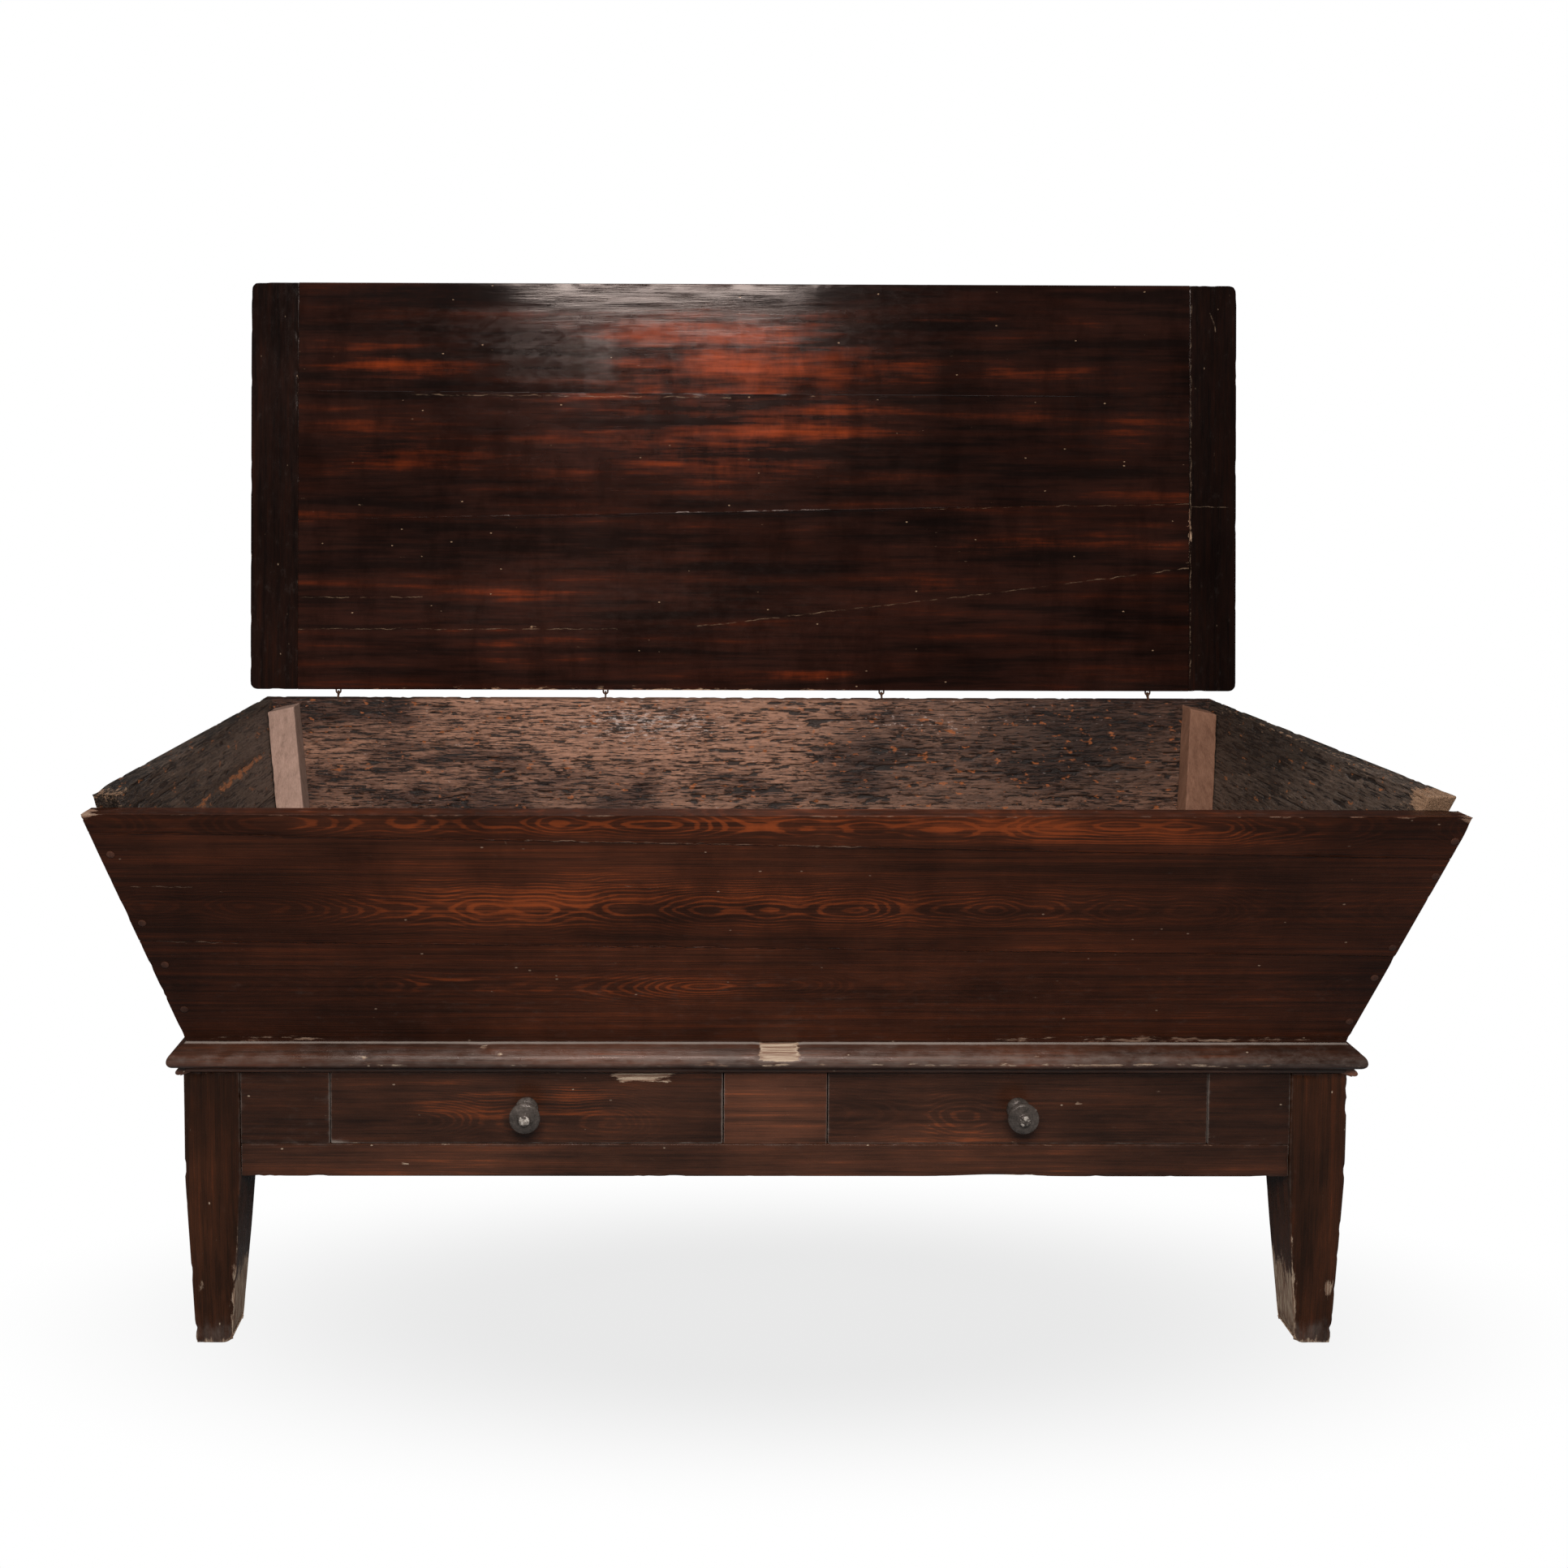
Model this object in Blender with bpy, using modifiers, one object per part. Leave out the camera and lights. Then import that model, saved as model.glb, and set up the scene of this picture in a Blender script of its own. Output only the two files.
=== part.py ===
"""Dough box: a flared kneading trough with a hinged lid, on a stand with two drawers.

Metres, +Z up, front towards -Y. The lid stands open, as it does at rest.
"""
import math

import bmesh
import bpy
from mathutils import Matrix, Vector

# Fits
GAP = 0.0003              # between pieces that touch
ARRIS = 0.0015            # small bevel on the boards' edges

# Stand
LEG_HEIGHT = 0.369
STAND_DEPTH = 0.472       # over the legs' front and back faces
LEG_SIDE = 0.073
LEG_OUTSET = 0.006        # legs stand past the trough's base at each end
LEG_INSET = 0.004         # and behind it at the front
FOOT_OUTER_TAPER = 0.009
FOOT_INNER_TAPER = 0.015
FACE_SETBACK = 0.003      # aprons, blocks and drawers behind the legs' faces
RAIL_HEIGHT = 0.043
RAIL_THICK = 0.026
APRON_THICK = 0.022
BLOCK_THICK = 0.022
TENON_LENGTH = 0.024
TENON_SHOULDER = 0.008
RUNNER_HEIGHT = 0.030
RUNNER_LEDGE = 0.020      # part of a runner under the drawer
GUIDE_THICK = 0.024
GUIDE_HEIGHT = 0.035

# Front of the stand, as shares of the clear width between the legs
LEFT_BLOCK_SHARE = 0.0847
LEFT_DRAWER_SHARE = 0.3748
MIDDLE_BLOCK_SHARE = 0.0985
RIGHT_DRAWER_SHARE = 0.3637

# Drawers
DRAWER_OPENING = 0.097    # from the rail up to the frame
DRAWER_REVEAL = 0.0015
DRAWER_FRONT_THICK = 0.022
DRAWER_SIDE_THICK = 0.012
DRAWER_SIDE_DROP = 0.012  # sides are lower than the opening
DRAWER_BACK_CLEAR = 0.006
DRAWER_BOTTOM_THICK = 0.006
GROOVE_RISE = 0.008
GROOVE_DEPTH = 0.005
TAIL_LENGTH = 0.012
TAIL_WAIST = 0.016        # dovetail height at its root
TAIL_SPREAD = 0.003       # how much each tail flares above and below
KNOB_DIAMETER = 0.0405
KNOB_FLANGE = 0.031
KNOB_NECK = 0.018
KNOB_BUTTON = 0.016
KNOB_LENGTH = 0.036
KNOB_TENON = 0.013
KNOB_TENON_LENGTH = 0.019

# Moulded frame under the trough
FRAME_THICK = 0.0424
FRAME_BEARING = 0.032     # how far the frame reaches in under the trough's back wall
NOSE_PROJECTION = 0.020   # beyond the trough's base
NOSE_LEDGE = 0.004
NOSE_UNDERCUT = 0.012
NOSE_RISE = 0.025         # height of the nose above the frame's underside

# Trough
TROUGH_LENGTH = 1.508     # front wall at its lower edge
TROUGH_DEPTH = 0.372      # outside, at the lower edge
END_FLARE = 0.199         # lean per metre of height, ends
SIDE_FLARE = 0.424        # lean per metre of height, front and back
FRONT_HEIGHT = 0.337
END_RISE = 0.019          # ends and back stand above the front
FRONT_THICK = 0.031
BACK_THICK = 0.026
END_THICK = 0.036
END_SETBACK = 0.017       # ends inside the front wall's tips
FLOOR_THICK = 0.022
STRIP_LEFT = 0.024        # height of the front wall's top strip at its left end
STRIP_RIGHT = 0.058
FRONT_LOWER_LEFT = 0.158  # height of the front wall's lowest board
FRONT_LOWER_RIGHT = 0.137
BACK_LOWER = 0.170
END_LOWER = 0.219
BATTEN_WIDTH = 0.044
BATTEN_DEPTH = 0.036
BATTEN_DROP = 0.006       # below the rim

# Lid and its eye hinges
LID_THICK = 0.024
LID_END_OVERHANG = 0.006
LID_FRONT_OVERHANG = 0.036
LID_LEAN = math.radians(2.5)
LID_REAR_SHARE = 0.44
LID_MIDDLE_SHARE = 0.289
CLEAT_WIDTH = 0.080
CLEAT_CORNER = 0.012
TONGUE_LENGTH = 0.018
TONGUE_THICK = 0.008
EYE_WIRE = 0.0014         # radius
EYE_RING = 0.0036         # mean radius of the lower eye
EYE_PRONG = 0.0038        # half the distance between an upper eye's prongs
EYE_RISE = 0.007          # hinge axis above the back wall
EYE_REACH = 0.007         # lid's rear edge in front of the hinge axis
EYE_DEPTH = 0.024         # prongs inside the wood
EYE_MARGIN = 0.067        # outer eyes inside the lid's cleats
EYE_INNER_SHARE = 0.341   # inner eyes' distance from the middle, as a share of the outer ones'

# Derived places
STAND_X = TROUGH_LENGTH / 2 + LEG_OUTSET
STAND_Y = STAND_DEPTH / 2
TROUGH_Y = TROUGH_DEPTH / 2 - STAND_Y - LEG_INSET
CLEAR_X = STAND_X - LEG_SIDE
CLEAR_Y = STAND_Y - LEG_SIDE
FACE_Y = -(STAND_Y - FACE_SETBACK)
RAIL_TOP = LEG_HEIGHT - DRAWER_OPENING
RAIL_BOTTOM = RAIL_TOP - RAIL_HEIGHT
BACK_INNER_Y = STAND_Y - FACE_SETBACK - APRON_THICK
FRAME_BOTTOM = LEG_HEIGHT + GAP
FRAME_TOP = FRAME_BOTTOM + FRAME_THICK
FRAME_X = TROUGH_LENGTH / 2 + NOSE_PROJECTION
FRAME_Y = STAND_Y + LEG_INSET + NOSE_PROJECTION
FRAME_WIDTH = FRAME_Y - (TROUGH_Y + TROUGH_DEPTH / 2) + FRAME_BEARING
TROUGH_BASE = FRAME_TOP + GAP
FRONT_RIM = TROUGH_BASE + FRONT_HEIGHT
BACK_RIM = FRONT_RIM + END_RISE
DRAWER_LENGTH = BACK_INNER_Y - FACE_Y - DRAWER_BACK_CLEAR
DRAWER_SIDE_HEIGHT = DRAWER_OPENING - DRAWER_SIDE_DROP


def side_out(z: float) -> float:
    """Distance of the front or back wall's outer face from the middle."""
    return TROUGH_DEPTH / 2 + SIDE_FLARE * (z - TROUGH_BASE)


def front_in(z: float) -> float:
    """Distance of the front wall's inner face from the middle."""
    return side_out(z) - FRONT_THICK


def back_in(z: float) -> float:
    """Distance of the back wall's inner face from the middle."""
    return side_out(z) - BACK_THICK


def wall_tip(z: float) -> float:
    """Half the length of the front wall."""
    return TROUGH_LENGTH / 2 + END_FLARE * (z - TROUGH_BASE)


def end_out(z: float) -> float:
    """Distance of an end's outer face from the middle, and half the length of the back wall."""
    return wall_tip(z) - END_SETBACK


def end_in(z: float) -> float:
    """Distance of an end's inner face from the middle."""
    return end_out(z) - END_THICK


AXIS_Y = side_out(BACK_RIM) - BACK_THICK / 2 + EYE_RISE * SIDE_FLARE
AXIS_Z = BACK_RIM + EYE_RISE
LID_HALF = wall_tip(BACK_RIM) + LID_END_OVERHANG
EYE_OUTER = LID_HALF - CLEAT_WIDTH - EYE_MARGIN
EYE_INNER = EYE_OUTER * EYE_INNER_SHARE
LID_DEPTH = AXIS_Y - EYE_REACH + side_out(FRONT_RIM) + LID_FRONT_OVERHANG
LID_UNDER = GAP - EYE_RISE
LID_TOP = LID_UNDER + LID_THICK
LID_BACK_REACH = (AXIS_Y + (EYE_REACH + LID_DEPTH) * math.sin(LID_LEAN)
                  + LID_TOP * math.cos(LID_LEAN))
ORIGIN_SHIFT = (side_out(FRONT_RIM) - LID_BACK_REACH) / 2 - TROUGH_Y

AXES = {
    "X": Matrix(((0, 0, 1, 0), (1, 0, 0, 0), (0, 1, 0, 0), (0, 0, 0, 1))),
    "Y": Matrix(((1, 0, 0, 0), (0, 0, -1, 0), (0, 1, 0, 0), (0, 0, 0, 1))),
    "Z": Matrix.Identity(4),
}

for leftover in list(bpy.data.objects):
    bpy.data.objects.remove(leftover, do_unlink=True)

PARTS = bpy.data.collections.new("dough_box")
CUTTERS = bpy.data.collections.new("cutters")
bpy.context.scene.collection.children.link(PARTS)
bpy.context.scene.collection.children.link(CUTTERS)


def material(name: str, colour: tuple, roughness: float, metallic: float = 0.0) -> bpy.types.Material:
    """A plain Principled material."""
    made = bpy.data.materials.new(name)
    made.use_nodes = True
    shader = made.node_tree.nodes["Principled BSDF"]
    shader.inputs["Base Color"].default_value = (*colour, 1.0)
    shader.inputs["Roughness"].default_value = roughness
    shader.inputs["Metallic"].default_value = metallic
    return made


STAINED = material("stained_pine", (0.065, 0.022, 0.011), 0.38)
LID_WOOD = material("lid_pine", (0.060, 0.021, 0.012), 0.40)
INSIDE = material("pitted_pine", (0.105, 0.078, 0.058), 0.80)
BATTEN_WOOD = material("newer_batten", (0.30, 0.17, 0.11), 0.70)
RAW_WOOD = material("raw_drawer_pine", (0.36, 0.22, 0.12), 0.75)
KNOB_WOOD = material("turned_knob", (0.085, 0.028, 0.012), 0.30)
IRON = material("hinge_iron", (0.11, 0.06, 0.04), 0.65, 0.6)


def pivot(name: str, place: tuple, parent: bpy.types.Object = None) -> bpy.types.Object:
    """An empty that carries pieces."""
    empty = bpy.data.objects.new(name, None)
    empty.location = place
    empty.parent = parent
    PARTS.objects.link(empty)
    return empty


def box_mesh(low: tuple, high: tuple) -> bpy.types.Mesh:
    """A box between two corners."""
    bm = bmesh.new()
    bmesh.ops.create_cube(bm, size=1.0)
    size = Vector(high) - Vector(low)
    bmesh.ops.scale(bm, vec=size, verts=bm.verts)
    bmesh.ops.translate(bm, vec=Vector(low) + size / 2, verts=bm.verts)
    return to_mesh(bm)


def rod_mesh(start: Vector, end: Vector, radius: float, sides: int = 12) -> bpy.types.Mesh:
    """A round rod between two points."""
    bm = bmesh.new()
    run = end - start
    bmesh.ops.create_cone(bm, cap_ends=True, segments=sides, radius1=radius, radius2=radius,
                          depth=run.length)
    turn = run.to_track_quat("Z", "Y").to_matrix().to_4x4()
    bmesh.ops.transform(bm, matrix=Matrix.Translation(start + run / 2) @ turn, verts=bm.verts)
    return to_mesh(bm)


def to_mesh(bm: bmesh.types.BMesh) -> bpy.types.Mesh:
    """Weld a bmesh, face it outward and turn it into a mesh."""
    bmesh.ops.remove_doubles(bm, verts=bm.verts, dist=0.00001)
    bmesh.ops.recalc_face_normals(bm, faces=bm.faces)
    mesh = bpy.data.meshes.new("shape")
    bm.to_mesh(mesh)
    bm.free()
    return mesh


def curve_mesh(curve: bpy.types.Curve, placing: Matrix) -> bpy.types.Mesh:
    """Turn a curve into a welded mesh and place it."""
    holder = bpy.data.objects.new("holder", curve)
    PARTS.objects.link(holder)
    view = bpy.context.evaluated_depsgraph_get()
    view.update()
    mesh = bpy.data.meshes.new_from_object(holder.evaluated_get(view))
    bpy.data.objects.remove(holder, do_unlink=True)
    mesh.transform(placing)
    bm = bmesh.new()
    bm.from_mesh(mesh)
    bmesh.ops.remove_doubles(bm, verts=bm.verts, dist=0.00001)
    bmesh.ops.dissolve_limit(bm, angle_limit=math.radians(0.1), verts=bm.verts, edges=bm.edges)
    return to_mesh(bm)


def prism_mesh(outline: list, along: str, low: float, high: float) -> bpy.types.Mesh:
    """A flat outline, filled and pulled along one axis.

    The outline is in (y, z) along X, in (x, z) along Y and in (x, y) along Z.
    """
    curve = bpy.data.curves.new("outline", "CURVE")
    curve.dimensions = "2D"
    curve.fill_mode = "BOTH"
    curve.extrude = (high - low) / 2
    spline = curve.splines.new("POLY")
    spline.points.add(len(outline) - 1)
    for point, (across, up) in zip(spline.points, outline):
        point.co = (across, up, 0.0, 1.0)
    spline.use_cyclic_u = True
    middle = (low + high) / 2
    if along == "Y":
        middle = -middle
    return curve_mesh(curve, AXES[along] @ Matrix.Translation((0, 0, middle)))


def wire_mesh(path: list, radius: float) -> bpy.types.Mesh:
    """A round wire with filled ends along a path."""
    curve = bpy.data.curves.new("wire", "CURVE")
    curve.dimensions = "3D"
    curve.bevel_depth = radius
    curve.bevel_resolution = 2
    curve.use_fill_caps = True
    spline = curve.splines.new("POLY")
    spline.points.add(len(path) - 1)
    for point, place in zip(spline.points, path):
        point.co = (*place, 1.0)
    return curve_mesh(curve, Matrix.Identity(4))


def add_piece(name: str, mesh: bpy.types.Mesh, finish: bpy.types.Material,
              parent: bpy.types.Object, arris: float = 0.0) -> bpy.types.Object:
    """Make a mesh into a named piece."""
    mesh.name = name
    piece = bpy.data.objects.new(name, mesh)
    piece.parent = parent
    mesh.materials.clear()
    mesh.materials.append(finish)
    PARTS.objects.link(piece)
    if arris > 0:
        bevel = piece.modifiers.new("arris", "BEVEL")
        bevel.width = arris
        bevel.segments = 1
        bevel.limit_method = "ANGLE"
        bevel.angle_limit = math.radians(50)
    return piece


def cut(piece: bpy.types.Object, shapes: list) -> None:
    """Cut shapes out of a piece."""
    bm = bmesh.new()
    for shape in shapes:
        bm.from_mesh(shape)
    cutter = bpy.data.objects.new("cutter_" + piece.name, to_mesh(bm))
    cutter.parent = piece.parent
    cutter.hide_render = True
    cutter.display_type = "WIRE"
    CUTTERS.objects.link(cutter)
    boolean = piece.modifiers.new("cut", "BOOLEAN")
    boolean.operation = "DIFFERENCE"
    boolean.solver = "EXACT"
    boolean.object = cutter


def flared_mesh(height_of, x_of, y_of) -> bpy.types.Mesh:
    """A cube whose corners follow the trough's flare.

    height_of takes the left or right side and the lower or upper side, each -1 or 1.
    x_of and y_of take a side and a height.
    """
    bm = bmesh.new()
    bmesh.ops.create_cube(bm, size=2.0)
    for corner in bm.verts:
        side, depth, level = (round(value) for value in corner.co)
        z = height_of(side, level)
        corner.co = (x_of(side, z), y_of(depth, z), z)
    return to_mesh(bm)


def tenoned(half: float, low: float, high: float) -> list:
    """Outline of a board with a shouldered tenon at each end."""
    tip = half + TENON_LENGTH
    upper = high - TENON_SHOULDER
    lower = low + TENON_SHOULDER
    return [(-half, low), (half, low), (half, lower), (tip, lower), (tip, upper), (half, upper),
            (half, high), (-half, high), (-half, upper), (-tip, upper), (-tip, lower), (-half, lower)]


def build_leg(name: str, side: int, depth: int, parent: bpy.types.Object) -> None:
    """One leg, square at the aprons and tapered below, with its mortises."""
    outer_x, inner_x = side * STAND_X, side * CLEAR_X
    outer_y, inner_y = depth * STAND_Y, depth * CLEAR_Y
    low = (min(outer_x, inner_x), min(outer_y, inner_y), 0.0)
    high = (max(outer_x, inner_x), max(outer_y, inner_y), LEG_HEIGHT)
    bm = bmesh.new()
    bm.from_mesh(box_mesh(low, high))
    everything = bm.verts[:] + bm.edges[:] + bm.faces[:]
    bmesh.ops.bisect_plane(bm, geom=everything, plane_co=(0, 0, RAIL_BOTTOM), plane_no=(0, 0, 1))
    for corner in bm.verts:
        if corner.co.z > 0.001:
            continue
        at_outer_x = abs(corner.co.x - outer_x) < 0.001
        at_outer_y = abs(corner.co.y - outer_y) < 0.001
        corner.co.x += -side * FOOT_OUTER_TAPER if at_outer_x else side * FOOT_INNER_TAPER
        corner.co.y += -depth * FOOT_OUTER_TAPER if at_outer_y else depth * FOOT_INNER_TAPER
    leg = add_piece(name, to_mesh(bm), STAINED, parent, ARRIS)

    rail_high = RAIL_TOP if depth < 0 else LEG_HEIGHT
    rail_thick = RAIL_THICK if depth < 0 else APRON_THICK
    face = depth * (STAND_Y - FACE_SETBACK)
    back = face - depth * rail_thick
    tip = side * (CLEAR_X + TENON_LENGTH + GAP)
    mouth = side * (CLEAR_X - 0.001)
    along_x = box_mesh((min(tip, mouth), min(face, back) - GAP, RAIL_BOTTOM + TENON_SHOULDER - GAP),
                       (max(tip, mouth), max(face, back) + GAP, rail_high - TENON_SHOULDER + GAP))
    outside = side * (STAND_X - FACE_SETBACK)
    inside = outside - side * APRON_THICK
    tip = depth * (CLEAR_Y + TENON_LENGTH + GAP)
    mouth = depth * (CLEAR_Y - 0.001)
    along_y = box_mesh((min(outside, inside) - GAP, min(tip, mouth), RAIL_BOTTOM + TENON_SHOULDER - GAP),
                       (max(outside, inside) + GAP, max(tip, mouth), LEG_HEIGHT - TENON_SHOULDER + GAP))
    cut(leg, [along_x, along_y])


def build_aprons(parent: bpy.types.Object) -> None:
    """Front lower rail and the three aprons, tenoned into the legs."""
    clear = CLEAR_X - GAP
    rail = prism_mesh(tenoned(clear, RAIL_BOTTOM, RAIL_TOP), "Y", FACE_Y, FACE_Y + RAIL_THICK)
    add_piece("front_rail", rail, STAINED, parent)
    outline = tenoned(clear, RAIL_BOTTOM, LEG_HEIGHT)
    add_piece("back_apron", prism_mesh(outline, "Y", BACK_INNER_Y, BACK_INNER_Y + APRON_THICK),
              STAINED, parent)
    outline = tenoned(CLEAR_Y - GAP, RAIL_BOTTOM, LEG_HEIGHT)
    outer = STAND_X - FACE_SETBACK
    add_piece("right_apron", prism_mesh(outline, "X", outer - APRON_THICK, outer), STAINED, parent)
    add_piece("left_apron", prism_mesh(outline, "X", -outer, -outer + APRON_THICK), STAINED, parent)


def front_places() -> list:
    """X limits of the left block, left drawer, middle block, right drawer and right block."""
    width = 2 * CLEAR_X
    shares = (LEFT_BLOCK_SHARE, LEFT_DRAWER_SHARE, MIDDLE_BLOCK_SHARE, RIGHT_DRAWER_SHARE)
    edges = [-CLEAR_X]
    for share in shares:
        edges.append(edges[-1] + share * width)
    edges.append(CLEAR_X)
    return list(zip(edges[:-1], edges[1:]))


def build_front(parent: bpy.types.Object) -> None:
    """Blocks between the drawers, and the runners behind them."""
    places = front_places()
    for name, (left, right) in zip(("left_block", "middle_block", "right_block"), places[::2]):
        block = box_mesh((left + GAP, FACE_Y, RAIL_TOP + GAP),
                         (right - GAP, FACE_Y + BLOCK_THICK, LEG_HEIGHT))
        add_piece(name, block, STAINED, parent)
    for drawer, (left, right) in zip(("left_drawer", "right_drawer"), places[1::2]):
        for hand, edge, away in (("left", left, -1), ("right", right, 1)):
            inner = edge - away * (DRAWER_REVEAL + RUNNER_LEDGE)
            outer = edge + away * GUIDE_THICK
            low = RAIL_TOP - RUNNER_HEIGHT
            outline = [(inner, low), (outer, low), (outer, RAIL_TOP + GUIDE_HEIGHT),
                       (edge, RAIL_TOP + GUIDE_HEIGHT), (edge, RAIL_TOP), (inner, RAIL_TOP)]
            runner = prism_mesh(outline, "Y", FACE_Y + RAIL_THICK + GAP, BACK_INNER_Y - GAP)
            add_piece(f"{drawer}_{hand}_runner", runner, RAW_WOOD, parent)


def frame_outline() -> list:
    """Cross-section of the moulded frame, out from the middle of the stand's edge."""
    outline = [(0.0, 0.0), (FRAME_WIDTH - NOSE_UNDERCUT - 0.003, 0.0)]
    steps = 5
    for step in range(steps + 1):
        angle = math.radians(90 * (1 - step / steps))
        outline.append((FRAME_WIDTH - NOSE_UNDERCUT * (1 - math.cos(angle)),
                        NOSE_RISE - (NOSE_RISE - 0.004) * math.sin(angle)))
    shoulder = NOSE_PROJECTION - NOSE_LEDGE
    top = FRAME_THICK - 0.001
    for step in range(1, steps + 1):
        angle = math.radians(90 * step / steps)
        outline.append((FRAME_WIDTH - shoulder * (1 - math.cos(angle)),
                        NOSE_RISE + (top - NOSE_RISE) * math.sin(angle)))
    outline.append((FRAME_WIDTH - NOSE_PROJECTION, FRAME_THICK))
    outline.append((0.0, FRAME_THICK))
    return outline


def mitre(mesh: bpy.types.Mesh, corner: Vector, keep: Vector) -> bpy.types.Mesh:
    """Cut one end of a moulding on a slope, keeping the side that keep points to."""
    bm = bmesh.new()
    bm.from_mesh(mesh)
    everything = bm.verts[:] + bm.edges[:] + bm.faces[:]
    bmesh.ops.bisect_plane(bm, geom=everything, plane_co=corner + keep * (GAP / 2), plane_no=-keep,
                           clear_outer=True)
    bmesh.ops.holes_fill(bm, edges=[edge for edge in bm.edges if edge.is_boundary])
    return to_mesh(bm)


def build_frame(parent: bpy.types.Object) -> None:
    """Four mitred lengths of moulding."""
    profile = frame_outline()
    slope = math.sqrt(0.5)
    for name, side in (("front_moulding", -1), ("back_moulding", 1)):
        inner = FRAME_Y - FRAME_WIDTH
        outline = [(side * (inner + out), FRAME_BOTTOM + up) for out, up in profile]
        mesh = prism_mesh(outline, "X", -FRAME_X - 0.01, FRAME_X + 0.01)
        for hand in (-1, 1):
            mesh = mitre(mesh, Vector((hand * FRAME_X, side * FRAME_Y, 0)),
                         Vector((-hand * slope, side * slope, 0)))
        add_piece(name, mesh, STAINED, parent)
    for name, side in (("left_moulding", -1), ("right_moulding", 1)):
        inner = FRAME_X - FRAME_WIDTH
        outline = [(side * (inner + out), FRAME_BOTTOM + up) for out, up in profile]
        mesh = prism_mesh(outline, "Y", -FRAME_Y - 0.01, FRAME_Y + 0.01)
        for hand in (-1, 1):
            mesh = mitre(mesh, Vector((side * FRAME_X, hand * FRAME_Y, 0)),
                         Vector((side * slope, -hand * slope, 0)))
        add_piece(name, mesh, STAINED, parent)


def build_walls(parent: bpy.types.Object) -> None:
    """Front wall of three boards and back wall of two."""
    def along(side: int, z: float) -> float:
        return side * wall_tip(z)

    def between(side: int, z: float) -> float:
        return side * end_out(z)

    def front(depth: int, z: float) -> float:
        return -side_out(z) if depth < 0 else -front_in(z)

    def back(depth: int, z: float) -> float:
        return back_in(z) if depth < 0 else side_out(z)

    strip = {-1: FRONT_RIM - STRIP_LEFT, 1: FRONT_RIM - STRIP_RIGHT}
    lower = {-1: TROUGH_BASE + FRONT_LOWER_LEFT, 1: TROUGH_BASE + FRONT_LOWER_RIGHT}
    base = {-1: TROUGH_BASE - GAP / 2, 1: TROUGH_BASE - GAP / 2}
    rim = {-1: FRONT_RIM + GAP / 2, 1: FRONT_RIM + GAP / 2}
    levels = [base, lower, strip, rim]
    for name, bottom, top in zip(("front_lower_board", "front_middle_board", "front_top_strip"),
                                 levels[:-1], levels[1:]):
        def level_of(side: int, level: int) -> float:
            return top[side] - GAP / 2 if level > 0 else bottom[side] + GAP / 2

        mesh = flared_mesh(level_of, along, front)
        add_piece(name, mesh, STAINED, parent, ARRIS)

    seam = TROUGH_BASE + BACK_LOWER
    mesh = flared_mesh(lambda side, level: seam - GAP / 2 if level > 0 else TROUGH_BASE, between, back)
    add_piece("back_lower_board", mesh, INSIDE, parent, ARRIS)
    mesh = flared_mesh(lambda side, level: BACK_RIM if level > 0 else seam + GAP / 2, between, back)
    upper = add_piece("back_upper_board", mesh, INSIDE, parent, ARRIS)
    axis, down, _ = eye_directions()
    radius = eye_leg_half() + EYE_WIRE + GAP
    reach = EYE_RISE / math.cos(math.atan(SIDE_FLARE)) + EYE_DEPTH + GAP
    cut(upper, [rod_mesh(axis + Vector((x, 0, 0)), axis + Vector((x, 0, 0)) + down * reach, radius)
                for x in eye_places()])


def build_ends(parent: bpy.types.Object) -> None:
    """Left end of two boards, right end of one, floor and corner battens."""
    def across(depth: int, z: float) -> float:
        return -(front_in(z) - GAP) if depth < 0 else back_in(z) - GAP

    def left(side: int, z: float) -> float:
        return -end_out(z) if side < 0 else -end_in(z)

    def right(side: int, z: float) -> float:
        return end_in(z) if side < 0 else end_out(z)

    seam = TROUGH_BASE + END_LOWER
    mesh = flared_mesh(lambda side, level: seam - GAP / 2 if level > 0 else TROUGH_BASE, left, across)
    add_piece("left_end_lower_board", mesh, INSIDE, parent, ARRIS)
    mesh = flared_mesh(lambda side, level: BACK_RIM if level > 0 else seam + GAP / 2, left, across)
    add_piece("left_end_upper_board", mesh, INSIDE, parent, ARRIS)
    mesh = flared_mesh(lambda side, level: BACK_RIM if level > 0 else TROUGH_BASE, right, across)
    add_piece("right_end_board", mesh, INSIDE, parent, ARRIS)

    def level_floor(side: int, level: int) -> float:
        return TROUGH_BASE + FLOOR_THICK if level > 0 else TROUGH_BASE

    def floor_x(side: int, z: float) -> float:
        return side * (end_in(z) - GAP)

    mesh = flared_mesh(level_floor, floor_x, lambda depth, z: across(-1, z) if depth < 0 else -GAP / 2)
    add_piece("front_floor_board", mesh, INSIDE, parent)
    mesh = flared_mesh(level_floor, floor_x, lambda depth, z: GAP / 2 if depth < 0 else across(1, z))
    add_piece("back_floor_board", mesh, INSIDE, parent)

    foot = TROUGH_BASE + FLOOR_THICK + GAP
    top = BACK_RIM - BATTEN_DROP
    square_cut = END_FLARE * BATTEN_WIDTH
    for name, hand in (("left_batten", -1), ("right_batten", 1)):
        def height(side: int, level: int) -> float:
            if level < 0:
                return foot
            return top - square_cut if side == hand else top

        def batten_x(side: int, z: float) -> float:
            outer = hand * (end_in(z) - GAP)
            return outer if side == hand else outer - hand * BATTEN_WIDTH

        def batten_y(depth: int, z: float) -> float:
            return across(1, z) - (BATTEN_DEPTH if depth < 0 else 0.0)

        add_piece(name, flared_mesh(height, batten_x, batten_y), BATTEN_WOOD, parent)


def eye_places() -> tuple:
    """X of the four hinges."""
    return (-EYE_OUTER, -EYE_INNER, EYE_INNER, EYE_OUTER)


def eye_leg_half() -> float:
    """Half the distance between a lower eye's two legs."""
    return EYE_WIRE + GAP / 2


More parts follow.
